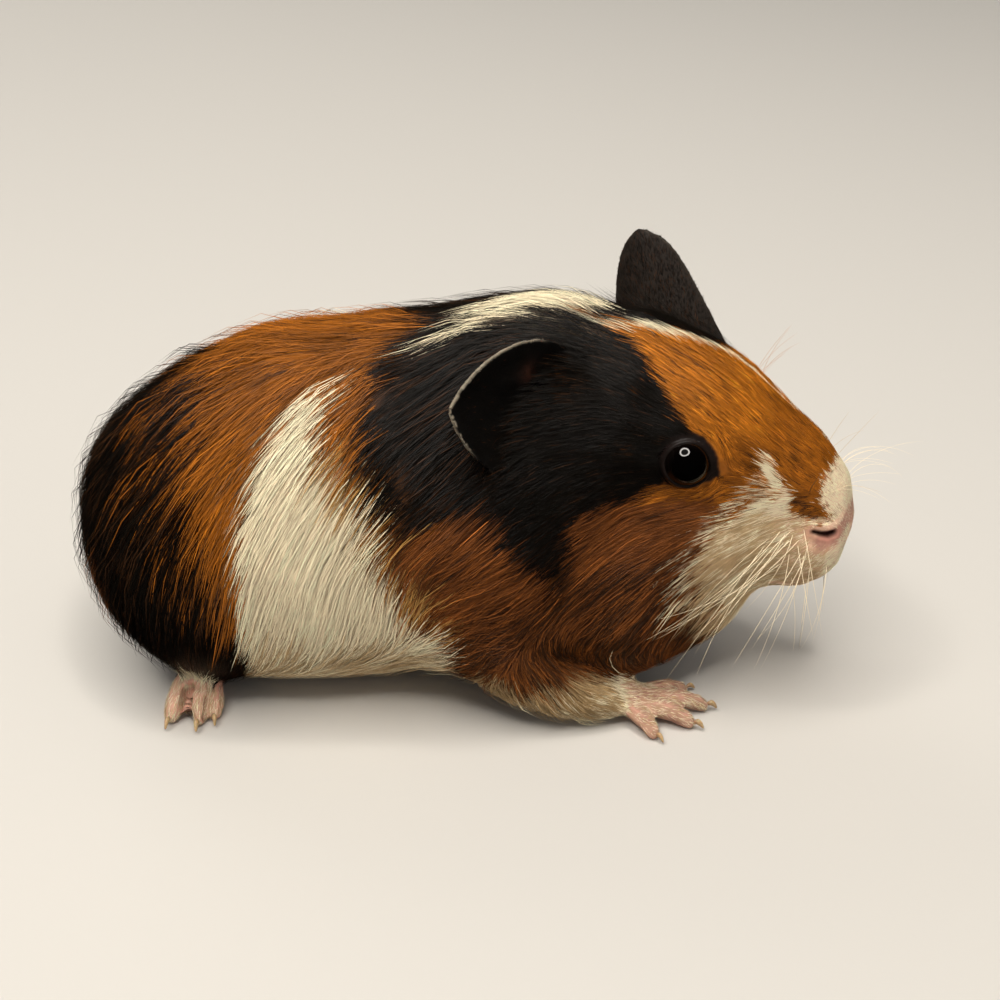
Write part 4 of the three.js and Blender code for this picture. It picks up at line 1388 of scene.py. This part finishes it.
def clear_of_openings(paths):
    """The share of each hair that can stay before it would lie over an eyeball or a nostril."""
    keep = np.ones(len(paths))
    near = np.flatnonzero(to_head(paths[:, 0])[:, 0] > 2)
    paths = paths[near]
    for share in np.arange(1.0, 0.05, -0.1):
        ends = shorten(paths, np.full(len(paths), share))[:, -1]
        over = to_path(right_half(ends), NOSTRIL) < 0.5
        for eye in eyes_of_head():
            reach, angle, opening = seen_from_eye(ends, eye)
            over |= (reach < EYE_RADIUS + 2.5) & (angle < opening + 11)
        keep[near[over]] = share - 0.1
    return keep


def locks(paths, roots, spacing, pull, rng):
    """Draws the hairs together into locks towards their tips. Returns each hair's lock too."""
    chance = np.minimum(1, 1 / np.maximum(spacing, 1e-3))
    leaders = np.flatnonzero(rng.random(len(paths)) < chance)
    tree = nearest_of(roots[leaders])
    lock = np.array([tree.find(p)[1] for p in roots.tolist()])
    lead = paths[leaders[lock]]
    t = np.linspace(0, 1, paths.shape[1])[None, :, None]
    share = pull * (0.35 + 0.65 * rng.random(len(paths)))[:, None, None] * t**1.4
    across = lead - paths
    far = np.linalg.norm(roots - roots[leaders[lock]], axis=1)
    share = share * ramp(far, 6.0, 3.0)[:, None, None]
    return paths + across * share, lock


def wave(paths, leans, height, lock, rng):
    """Bends the hairs to and fro in the plane of the coat, each lock as one."""
    steps = paths.shape[1] - 1
    t = np.linspace(0, 1, steps + 1)[None]
    phase = (rng.random(lock.max() + 1) * WAVE_TURN)[lock][:, None]
    phase = phase + rng.normal(0, 0.35, (len(paths), 1))
    turns = (rng.random(lock.max() + 1) * 0.6 + 0.9)[lock][:, None]
    along = unit(paths[:, -1] - paths[:, 0])
    side = unit(np.cross(leans, along[:, None]))
    swing = np.sin(phase + t * turns * WAVE_TURN) - np.sin(phase) * (1 - t)
    swing = height[:, None] * t**0.8 * swing
    return paths + side * swing[:, :, None]


def hairs_mesh(name, paths, leans, widths, dyes, places, roundness):
    """One closed three-sided, tapering mesh hair along each path."""
    count, points = paths.shape[:2]
    rings = points - 1
    t = np.arange(rings) / rings
    taper = (1 - 0.65 * t**1.6)[None, :, None]
    along = unit(np.gradient(paths, axis=1))
    side = unit(np.cross(along, leans))
    up = np.cross(side, along)
    half = widths[:, None, None] * 0.5 * taper
    centre, side, up = paths[:, :rings], side[:, :rings], up[:, :rings]
    low, high = up * half * 0.2, up * half * 0.45
    ring = np.stack((centre + side * half - low, centre + high, centre - side * half - low), 2)
    corners = np.concatenate((ring.reshape(count, rings * 3, 3), paths[:, -1:]), 1)
    # The hairs are lit as the coat they lie in, and by their roundness as round hairs.
    lean = leans[:, :rings]
    lit = np.stack((lean + side * roundness, lean, lean - side * roundness), 2)
    lit = unit(np.concatenate((lit.reshape(count, rings * 3, 3), leans[:, -1:]), 1))
    corners[:, :, 2] = np.maximum(corners[:, :, 2], HAIR_FLOOR)
    each = rings * 3 + 1

    quads = []
    for k in range(rings - 1):
        for j in range(3):
            i = (j + 1) % 3
            quads.append((3 * k + j, 3 * k + 3 + j, 3 * k + 3 + i, 3 * k + i))
    last = 3 * (rings - 1)
    tips = [(last + j, each - 1, last + (j + 1) % 3) for j in range(3)] + [(0, 1, 2)]
    starts = (np.arange(count) * each)[:, None, None]
    quads = (np.array(quads)[None] + starts).reshape(count, -1)
    tips = (np.array(tips)[None] + starts).reshape(count, -1)
    loops = np.concatenate((quads, tips), 1)
    sizes = np.array([4] * (quads.shape[1] // 4) + [3] * (tips.shape[1] // 3))
    begins = np.concatenate(((0,), np.cumsum(sizes)[:-1]))
    begins = (begins[None] + (np.arange(count) * sizes.sum())[:, None]).ravel()

    mesh = bpy.data.meshes.new(name)
    mesh.vertices.add(count * each)
    mesh.loops.add(loops.size)
    mesh.polygons.add(len(begins))
    mesh.vertices.foreach_set("co", (corners * MM).astype(np.float32).ravel())
    mesh.loops.foreach_set("vertex_index", loops.astype(np.int32).ravel())
    mesh.polygons.foreach_set("loop_start", begins.astype(np.int32))
    mesh.update(calc_edges=True)
    mesh.polygons.foreach_set("use_smooth", np.ones(len(begins), bool))
    mesh.normals_split_custom_set_from_vertices(lit.reshape(-1, 3).astype(np.float32))

    paint(mesh, "dye", dyes.reshape(-1, 3))
    # Each hair's patch of the map is a small square at its root's place on the skin's unwrap.
    u = np.tile(np.array((0, 0.5, 1.0)), rings)
    v = np.repeat(t, 3)
    own = np.stack((np.append(u, 0.5), np.append(v, 1.0)), 1) - 0.5
    spots = (places[:, None] + own[None] * PATCH).reshape(-1, 2)
    layer = mesh.uv_layers.new(name="OFBake")
    layer.uv.foreach_set("vector", spots[loops.ravel()].clip(0, 1).astype(np.float32).ravel())
    piece = bpy.data.objects.new(name, mesh)
    bpy.context.collection.objects.link(piece)
    return piece


def triangles_of(steps):
    """The triangles in one hair of so many steps."""
    return 6 * (steps - 1) + 4


def shades(names, lock, steps, rng, brown_share=0.03):
    """The dye of each hair along its length, darkened towards the root as painted shade between the
    layered hairs, and varied by lock and hair.
    """
    base = np.stack([DYE[n] for n in names])
    by_lock = rng.normal(0, 1, lock.max() + 1)[lock]
    by_hair = rng.normal(0, 1, len(names))
    width = np.array([VARIETY[n] for n in names])
    tone = np.exp(width * (0.6 * by_lock + 0.7 * by_hair) - 0.3 * width**2)
    ticked = (rng.random(len(names)) < 0.07) & np.isin(names, ("ginger", "amber", "rust"))
    base = np.where(ticked[:, None], DYE["sable"], base)
    brown = (rng.random(len(names)) < brown_share) & np.isin(names, ("black", "sable"))
    base = np.where(brown[:, None], DYE["sable"], base)
    t = np.linspace(0, 1, steps + 1)
    # roots darkened as painted shade where hairs lie over one another
    root = np.where(np.isin(names, SLOTS["black"]), 0.8, 0.72)
    root = np.where(np.isin(names, SLOTS["cream"]), 0.97, root)
    along = root[:, None] + (1.05 - root)[:, None] * ramp(t, 0.0, 0.6)[None]
    values = base[:, None] * (tone[:, None] * along)[:, :, None]
    rings = np.repeat(values[:, :steps], 3, axis=1)
    return np.concatenate((rings, values[:, -1:]), 1).clip(0, 0.92)


def standing(roots, start_way, end_way, lengths):
    """Hairs that stand off the skin: two steps, the second in a second direction."""
    step = (lengths * 0.5)[:, None]
    middle = roots + start_way * step
    return np.stack((roots - start_way * 0.2, middle, middle + end_way * step), 1)


def plain_batch(names, paths, leans, width, places, rng):
    """A batch of hairs of one width, each of which is its own lock."""
    colours = shades(names, np.arange(len(paths)), paths.shape[1] - 1, rng)
    return names, paths, leans, np.full(len(paths), width), colours, places


class GUINEAPIG_OT_coat(bpy.types.Operator):
    """Grows the coat over the skin, combed and marked, in pieces of one colour"""

    bl_idname = "guineapig.coat"
    bl_label = "Coat"

    def execute(self, context):
        sizes = context.scene.guinea_pig_coat
        rng = np.random.default_rng(sizes.seed)
        pelt = Pelt(bpy.data.objects["skin"])
        batches = self.body_hairs(pelt, sizes, rng)
        batches += self.ear_hairs(pelt, rng)
        batches += self.foot_hairs(pelt, rng)
        materials = {
            "ginger": hair_material("hair_ginger_smooth", 0.5, 0.2, 0.12),
            "black": hair_material("hair_black_glossy", 0.4, 0.16, 0.12),
            "cream": hair_material("hair_cream_soft", 0.55, 0.2, 0.04),
        }
        total = 0
        for slot, dyes in SLOTS.items():
            number = 0
            for names, *batch in batches:
                mine = np.flatnonzero(np.isin(names, dyes))
                each = triangles_of(batch[0].shape[1] - 1)
                parts = -(-len(mine) // (FACES_MOST // each))
                for part in range(parts):
                    some = mine[part::parts]
                    number += 1
                    own = [values[some] for values in batch]
                    piece = hairs_mesh(f"coat_{slot}_{number}", *own, ROUNDNESS[slot])
                    finish_piece(piece, materials[slot], f"coat_{slot}")
                    total += len(some) * each
        print(f"coat: {total} triangles, skin: {len(pelt.areas)} triangles")
        return {"FINISHED"}

    def body_density(self, pelt, sizes):
        """How many hairs grow on a square millimetre of each triangle, and how high they wave."""
        _, length, _, waves = combed(pelt.middles)
        width = sizes.fine / MM + sizes.thicken * length
        density = sizes.layers / (HAIR_COVER * length * width)
        half = right_half(pelt.middles)
        grown = 0.12 + 0.88 * ramp(off_nose_pad(half), 0.0, 1.0)
        grown = grown * ramp(to_path(half, NOSTRIL), 0.4, 1.2)
        for eye in eyes_of_head():
            reach, angle, opening = seen_from_eye(pelt.middles, eye)
            grown = grown * np.where(reach < EYE_RADIUS + 1.5, ramp(angle - opening, 11, 17), 1)
            grown = grown * (1 + 0.8 * ramp(reach, EYE_RADIUS + 4, EYE_RADIUS + 0.5))
        density = density * grown * (pelt.ear < 0.5) * (pelt.foot < 0.5)
        density = density * np.where(pelt.lean[:, 2] < -0.5, UNDERSIDE, 1)
        return density * (pelt.middles[:, 2] > 0.6), waves

    def before_an_ear(self, roots):
        """Where hair grows that runs on into an ear's hollow; the rest passes under the ear."""
        inside = np.zeros(len(roots), bool)
        for ear in EARS.values():
            v, _, height, _ = on_ear(roots, ear)
            off_root = np.linalg.norm(roots - ear_axes(ear)[0], axis=1)
            inside |= (off_root < 16) & (height > 0.2) & (v < 0.6)
        return inside

    def body_hairs(self, pelt, sizes, rng):
        """Hair over the whole body but the ears and feet, combed, drawn into locks and marked."""
        density, waves = self.body_density(pelt, sizes)
        batches = []
        for steps, kind in ((STEPS_PLAIN, waves <= WAVY), (STEPS_WAVY, waves > WAVY)):
            index, roots, normals, places = pelt.roots(density * kind, rng)
            count = len(roots)
            _, long, deep, high_wave = combed(roots)
            guard = rng.random(count) < GUARD_SHARE
            long = long * np.where(guard, GUARD_GROWTH, rng.uniform(0.68, 1.05, count))
            for eye in eyes_of_head():
                off_eye = np.linalg.norm(roots - eye[0], axis=1)
                long = long * (0.5 + 0.5 * ramp(off_eye, EYE_RADIUS + 0.5, EYE_RADIUS + 4.5))
            high, low = rng.uniform(1.2, 2.6, count), rng.uniform(0.3, 1.05, count)
            lift = deep * np.where(guard, high, low)
            spins = rng.normal(0, sizes.stray, count) + 0.06 * ripple(roots, 7.0)
            pale = np.isin(marked(roots), SLOTS["cream"])
            lift, spins = lift * np.where(pale, 0.55, 1), spins * np.where(pale, 0.7, 1)
            inside = self.before_an_ear(roots)
            paths = np.empty((count, steps + 1, 3))
            leans = np.empty_like(paths)
            for ground, some in (("flesh", ~inside), ("all", inside)):
                if not some.any():
                    continue
                own = [values[some] for values in (roots, normals, long, lift, spins)]
                paths[some], leans[some] = march(pelt, ground, *own, steps, body_lie)
            keep = clear_of_openings(paths)
            paths = shorten(paths, keep)
            keep = keep > 0.15
            roots, places, paths, leans = roots[keep], places[keep], paths[keep], leans[keep]
            long, high_wave, guard, index = long[keep], high_wave[keep], guard[keep], index[keep]
            spacing = density[index] * (0.35 + 0.16 * long) ** 2
            paths, lock = locks(paths, roots, spacing, sizes.lock, rng)
            paths = wave(paths, leans, high_wave, lock, rng)
            widths = np.where(guard, GUARD_GROWTH, rng.uniform(0.75, 1.15, len(long)))
            widths = (sizes.fine / MM + sizes.thicken * long) * widths
            shift = rng.normal(0, 0.4, (lock.max() + 1, 3))[lock]
            shift = shift + rng.normal(0, 0.3, (len(paths), 3))
            spots = shorten(paths, rng.uniform(0.35, 0.85, len(paths)))[:, -1] + shift
            luck = rng.random(lock.max() + 1)[lock] * 0.5 + rng.random(len(paths)) * 0.5
            names = marked(spots, luck)
            brown = np.where(to_head(roots)[:, 0] > -10, 0.03, 0.16)
            colours = shades(names, lock, steps, rng, brown)
            batches.append((names, paths, leans, widths, colours, places))
        return batches

    def ear_hairs(self, pelt, rng):
        """Short dark down on the ears, a fringe on the rim, and tufts where ear and head meet."""
        batches = []
        for ear in EARS.values():
            start, along, wide, hollow = ear_axes(ear)
            v, u, height, _ = on_ear(pelt.middles, ear)
            near = np.linalg.norm(pelt.middles - start - along / 2, axis=1) < 24
            mine = (pelt.ear > 0.5) & near
            rim = ear["pale"] * rim_shows(v, u)
            down = np.where(height < 0, 7.0, 3.5)
            down = down * ramp(pelt.off_rim, 0.1 + 0.25 * rim, 0.5 + 0.25 * rim) * mine
            index, roots, normals, places = pelt.roots(down, rng)
            count = len(roots)
            spins = rng.normal(0, 0.25, count)
            long = np.minimum(rng.uniform(0.9, 1.9, count), 0.1 + 0.7 * pelt.off_rim[index])
            lift = rng.uniform(0.08, 0.25, count)
            paths, leans = march(
                pelt, "ears", roots, normals, long, lift, spins, STEPS_PLAIN,
                lambda points: np.repeat(unit(along)[None], len(points), 0),
            )
            brown = (rng.random(count) < 0.15) & (height[index] < 0)
            names = np.where(brown, "sable", "black").astype("<U8")
            batches.append(plain_batch(names, paths, leans, 0.085, places, rng))

            fringe = (6.0 - 4.5 * rim) * (pelt.off_rim < 0.2) * (v > 0.12) * mine
            index, roots, normals, places = pelt.roots(fringe, rng)
            across = u[index] * ramp(np.abs(u[index]), 0.2, 0.9)
            way = unit(wide * across[:, None] + unit(along) * (0.25 + v[index])[:, None])
            way = unit(way + rng.normal(0, 0.2, way.shape))
            ashen = rng.random(len(roots)) < 0.95 * rim[index]
            names = np.where(ashen, "ash", "black").astype("<U8")
            paths = standing(roots, way, way, rng.uniform(0.2, 0.45, len(roots)))
            leans = np.repeat(normals[:, None], STEPS_PLAIN + 1, 1)
            batches.append(plain_batch(names, paths, leans, 0.07, places, rng))

            local = pelt.middles - start
            v = local @ along / (along @ along)
            u = local @ wide / ear["half"]
            height = local @ hollow - ear["cup"] * (np.minimum(u * u, 1) - 1)
            seam = (np.abs(v) < 0.4) & (np.abs(height) < 3.4) & (np.abs(u) < 1.2)
            _, roots, normals, places = pelt.roots(3.2 * (seam & (pelt.ear < 0.5)), rng)
            lie = combed(roots)[0]
            way = unit(along) * 0.6 + normals * 0.3 + lie * 0.5
            way = unit(way + rng.normal(0, 0.1, normals.shape))
            end_way = unit(way + lie * 1.2 - normals * 0.15)
            paths = standing(roots, way, end_way, rng.uniform(3.5, 8.0, len(roots)))
            leans = np.repeat(normals[:, None], STEPS_PLAIN + 1, 1)
            names = marked(roots)
            names[np.isin(names, SLOTS["ginger"])] = "black"
            batches.append(plain_batch(names, paths, leans, 0.11, places, rng))
        return batches

    def foot_hairs(self, pelt, rng):
        """Thin pale hair on the tops of the feet, shorter towards the toes."""
        density = 6.0 * (pelt.foot > 0.5) * ramp(pelt.lean[:, 2], -0.2, 0.4)
        _, roots, normals, places = pelt.roots(density * (pelt.middles[:, 2] > 0.8), rng)
        count = len(roots)
        long = combed(roots)[1].clip(1.2, 3.4) * rng.uniform(0.6, 1.1, count)
        lift, spins = rng.uniform(0.08, 0.3, count), rng.normal(0, 0.25, count)
        paths, leans = march(
            pelt, "flesh", roots, normals, long, lift, spins, STEPS_PLAIN,
            lambda points: combed(points)[0],
        )
        names = np.where(rng.random(count) < 0.5, "buff", "cream").astype("<U8")
        return [plain_batch(names, paths, leans, 0.09, places, rng)]


# ---- whiskers ----

WHISKER_STEPS = 9
# The room in which the whiskers stay, in millimetres along each axis.
ROOM = ((0, -80.0, 84.0), (1, -46.5, 46.5), (2, 0.6, 90.0))
# Fans of whiskers on the right side, which the left side mirrors: the root's place in the head's
# frame, the ways it sets off and ends, the share of the full length, how many, and their dye.
FANS = (
    ((33, -10.5, -15), (-0.45, -0.75, -0.45), (-0.62, -0.20, -0.80), 1.0, 6, "cream"),
    ((30, -11.0, -17), (-0.60, -0.65, -0.45), (-0.72, -0.10, -0.72), 0.95, 6, "cream"),
    ((35, -10.0, -18), (-0.10, -0.75, -0.60), (-0.35, -0.15, -0.95), 0.75, 6, "cream"),
    ((37, -7.5, -21), (0.15, -0.55, -0.80), (-0.05, 0.0, -1.00), 0.5, 5, "cream"),
    ((36, -9.8, -15.5), (0.30, -0.80, -0.35), (0.20, -0.45, -0.80), 0.6, 2, "cream"),
    ((39, -4.5, -6.5), (0.62, -0.35, 0.70), (0.90, -0.25, -0.35), 0.42, 6, "cream"),
    ((36, -8.0, -6), (0.30, -0.55, 0.80), (0.60, -0.35, 0.65), 0.42, 3, "buff"),
    ((23, -3.5, 9.5), (0.45, -0.15, 0.88), (0.75, -0.15, 0.62), 0.4, 3, "amber"),
)


class GUINEAPIG_OT_whiskers(bpy.types.Operator):
    """Builds the whiskers on the muzzle and the few long hairs over the eyes"""

    bl_idname = "guineapig.whiskers"
    bl_label = "Whiskers"

    def execute(self, context):
        sizes = context.scene.guinea_pig_whiskers
        rng = np.random.default_rng(sizes.seed)
        pelt = Pelt(bpy.data.objects["skin"])
        material = hair_material("whisker_keratin_stiff", 0.35, 0.4, 0.05)
        for side, word in ((RIGHT, "right"), (LEFT, "left")):
            paths, names, widths = [], [], []
            turn = np.array((1, -side, 1))
            for place, way, end, share, count, dye in FANS:
                for _ in range(count):
                    root = from_head((place + rng.normal(0, 1.4, 3)) * turn)
                    root = pelt.under("flesh", root[None])[0][0]
                    way_now = unit(way + rng.normal(0, 0.16, 3))
                    end_now = unit(end + rng.normal(0, 0.2, 3))
                    t = np.linspace(0, 1, WHISKER_STEPS)[:, None] ** 0.8
                    ways = unit((way_now * (1 - t) + end_now * t) * turn) @ HEAD_AXES
                    long = sizes.length / MM * share * rng.uniform(0.6, 1.0)
                    run = np.cumsum(ways * long / WHISKER_STEPS, 0)
                    path = root + np.concatenate((-ways[:1] * 0.3, run))
                    paths.append(root + (path - root) * self.room(path, root))
                    names.append(dye)
                    widths.append(sizes.width / MM * (0.55 + 0.45 * share))
            paths = np.array(paths)
            along = unit(np.gradient(paths, axis=1))
            leans = unit(np.cross(np.cross(along, (0, 0, 1.0)), along))
            dyes = np.stack([DYE[n] for n in names])[:, None]
            dyes = np.repeat(dyes, WHISKER_STEPS * 3 + 1, 1)
            places = np.full((len(paths), 2), 0.5)
            piece = hairs_mesh(
                f"whiskers_{word}", paths, leans, np.array(widths), dyes, places, 1.0
            )
            piece.data.uv_layers.remove(piece.data.uv_layers["OFBake"])
            finish_piece(piece, material, "coat_cream")
        return {"FINISHED"}

    def room(self, path, root):
        """The share of its length that keeps a whisker within the guinea pig's own room."""
        share = 1.0
        for axis, low, high in ROOM:
            for end in (path[:, axis].min(), path[:, axis].max()):
                limit = low if end < root[axis] else high
                if (end - limit) * (1 if limit == high else -1) > 0:
                    share = min(share, (limit - root[axis]) / (end - root[axis]))
        return share


# ---- the studio ----


class GUINEAPIG_OT_studio(bpy.types.Operator):
    """Lays the floor, hangs the lights and places the camera"""

    bl_idname = "guineapig.studio"
    bl_label = "Studio"

    def execute(self, context):
        look = context.scene.guinea_pig_studio
        bpy.ops.object.select_all(action="DESELECT")
        bpy.ops.mesh.primitive_plane_add(size=40.0, location=(0, 0, 0))
        floor = bpy.context.object
        floor.name = "floor"
        floor.data.materials.append(floor_material(look.floor))
        floor.visible_glossy = False

        target = Vector((BODY_ORIGIN + (8.32, -0.06, 30.9)) * MM)
        away = Vector((0, -math.cos(look.elevation), math.sin(look.elevation)))
        bpy.ops.object.camera_add(
            location=target + away * look.distance,
            rotation=(math.pi / 2 - look.elevation, 0, 0),
        )
        camera = bpy.context.object
        camera.data.lens = look.lens
        camera.data.sensor_width = 36.0
        camera.data.clip_start = 0.01
        context.scene.camera = camera

        # an overhead lamp, a weak one before the face and one behind that draws the outline
        for name, place, size, power in (
            ("key", (-0.12, -0.22, 0.82), 0.66, look.key),
            ("side", (0.70, -0.60, 0.40), 0.70, look.key * 0.12),
            ("back", (-0.45, 0.70, 0.55), 0.60, look.key * 0.3),
        ):
            bpy.ops.object.light_add(type="AREA", location=place)
            light = bpy.context.object
            light.name = name
            light.data.shape = "DISK"
            light.data.size = size
            light.data.energy = power
            light.data.color = linear("#FFF9F0")[:3]
            light.rotation_euler = (target - Vector(place)).to_track_quat("-Z", "Y").to_euler()
            light.visible_glossy = name == "key"
            if name == "key":
                # a ring-shaped tube, which shows in the eyes
                light.data.use_nodes = True
                tree = light.data.node_tree
                tree.nodes.clear()
                spot = node(tree, "NewGeometry")
                off = node(tree, "VectorMath", {
                    0: spot.outputs["Parametric"], 1: (0.5, 0.5, 0.0),
                }, operation="DISTANCE")
                bright = node(tree, "MapRange", {
                    "Value": off.outputs["Value"], "From Min": 0.32, "From Max": 0.37,
                    "To Min": 0.05, "To Max": 2.95,
                })
                glow = node(tree, "Emission", {"Strength": bright.outputs["Result"]})
                node(tree, "OutputLight", {"Surface": glow.outputs["Emission"]})

        world = bpy.data.worlds.new("room")
        world.use_nodes = True
        background = world.node_tree.nodes["Background"]
        background.inputs["Color"].default_value = linear("#DCDAD6")
        background.inputs["Strength"].default_value = look.fill
        world.cycles_visibility.glossy = False
        context.scene.world = world
        context.scene.view_settings.view_transform = "Standard"
        return {"FINISHED"}


class GUINEAPIG_PT_panel(bpy.types.Panel):
    """Lists the guinea pig's sizes and its pieces"""

    bl_idname = "GUINEAPIG_PT_panel"
    bl_label = "Guinea pig"
    bl_space_type = "VIEW_3D"
    bl_region_type = "UI"
    bl_category = "Guinea pig"

    def draw(self, context):
        for holder, operator in PIECES:
            box = self.layout.box()
            if holder:
                group = getattr(context.scene, holder)
                for name in group.__annotations__:
                    box.prop(group, name)
            box.operator(operator)


GROUPS = {
    "guinea_pig_skin": GuineaPigSkin,
    "guinea_pig_coat": GuineaPigCoat,
    "guinea_pig_whiskers": GuineaPigWhiskers,
    "guinea_pig_studio": GuineaPigStudio,
}
PIECES = (
    ("guinea_pig_skin", "guineapig.skin"),
    (None, "guineapig.eyes"),
    (None, "guineapig.claws"),
    ("guinea_pig_coat", "guineapig.coat"),
    ("guinea_pig_whiskers", "guineapig.whiskers"),
    ("guinea_pig_studio", "guineapig.studio"),
)
CLASSES = (
    *GROUPS.values(),
    GUINEAPIG_OT_skin,
    GUINEAPIG_OT_eyes,
    GUINEAPIG_OT_claws,
    GUINEAPIG_OT_coat,
    GUINEAPIG_OT_whiskers,
    GUINEAPIG_OT_studio,
    GUINEAPIG_PT_panel,
)


def register():
    for cls in CLASSES:
        bpy.utils.register_class(cls)
    for name, group in GROUPS.items():
        setattr(bpy.types.Scene, name, PointerProperty(type=group))


def unregister():
    for name in GROUPS:
        delattr(bpy.types.Scene, name)
    for cls in reversed(CLASSES):
        bpy.utils.unregister_class(cls)


def main():
    register()
    bpy.ops.guineapig.skin()
    bpy.ops.guineapig.eyes()
    bpy.ops.guineapig.claws()
    bpy.ops.guineapig.coat()
    bpy.ops.guineapig.whiskers()
    bpy.ops.guineapig.studio()


if __name__ == "__main__":
    main()
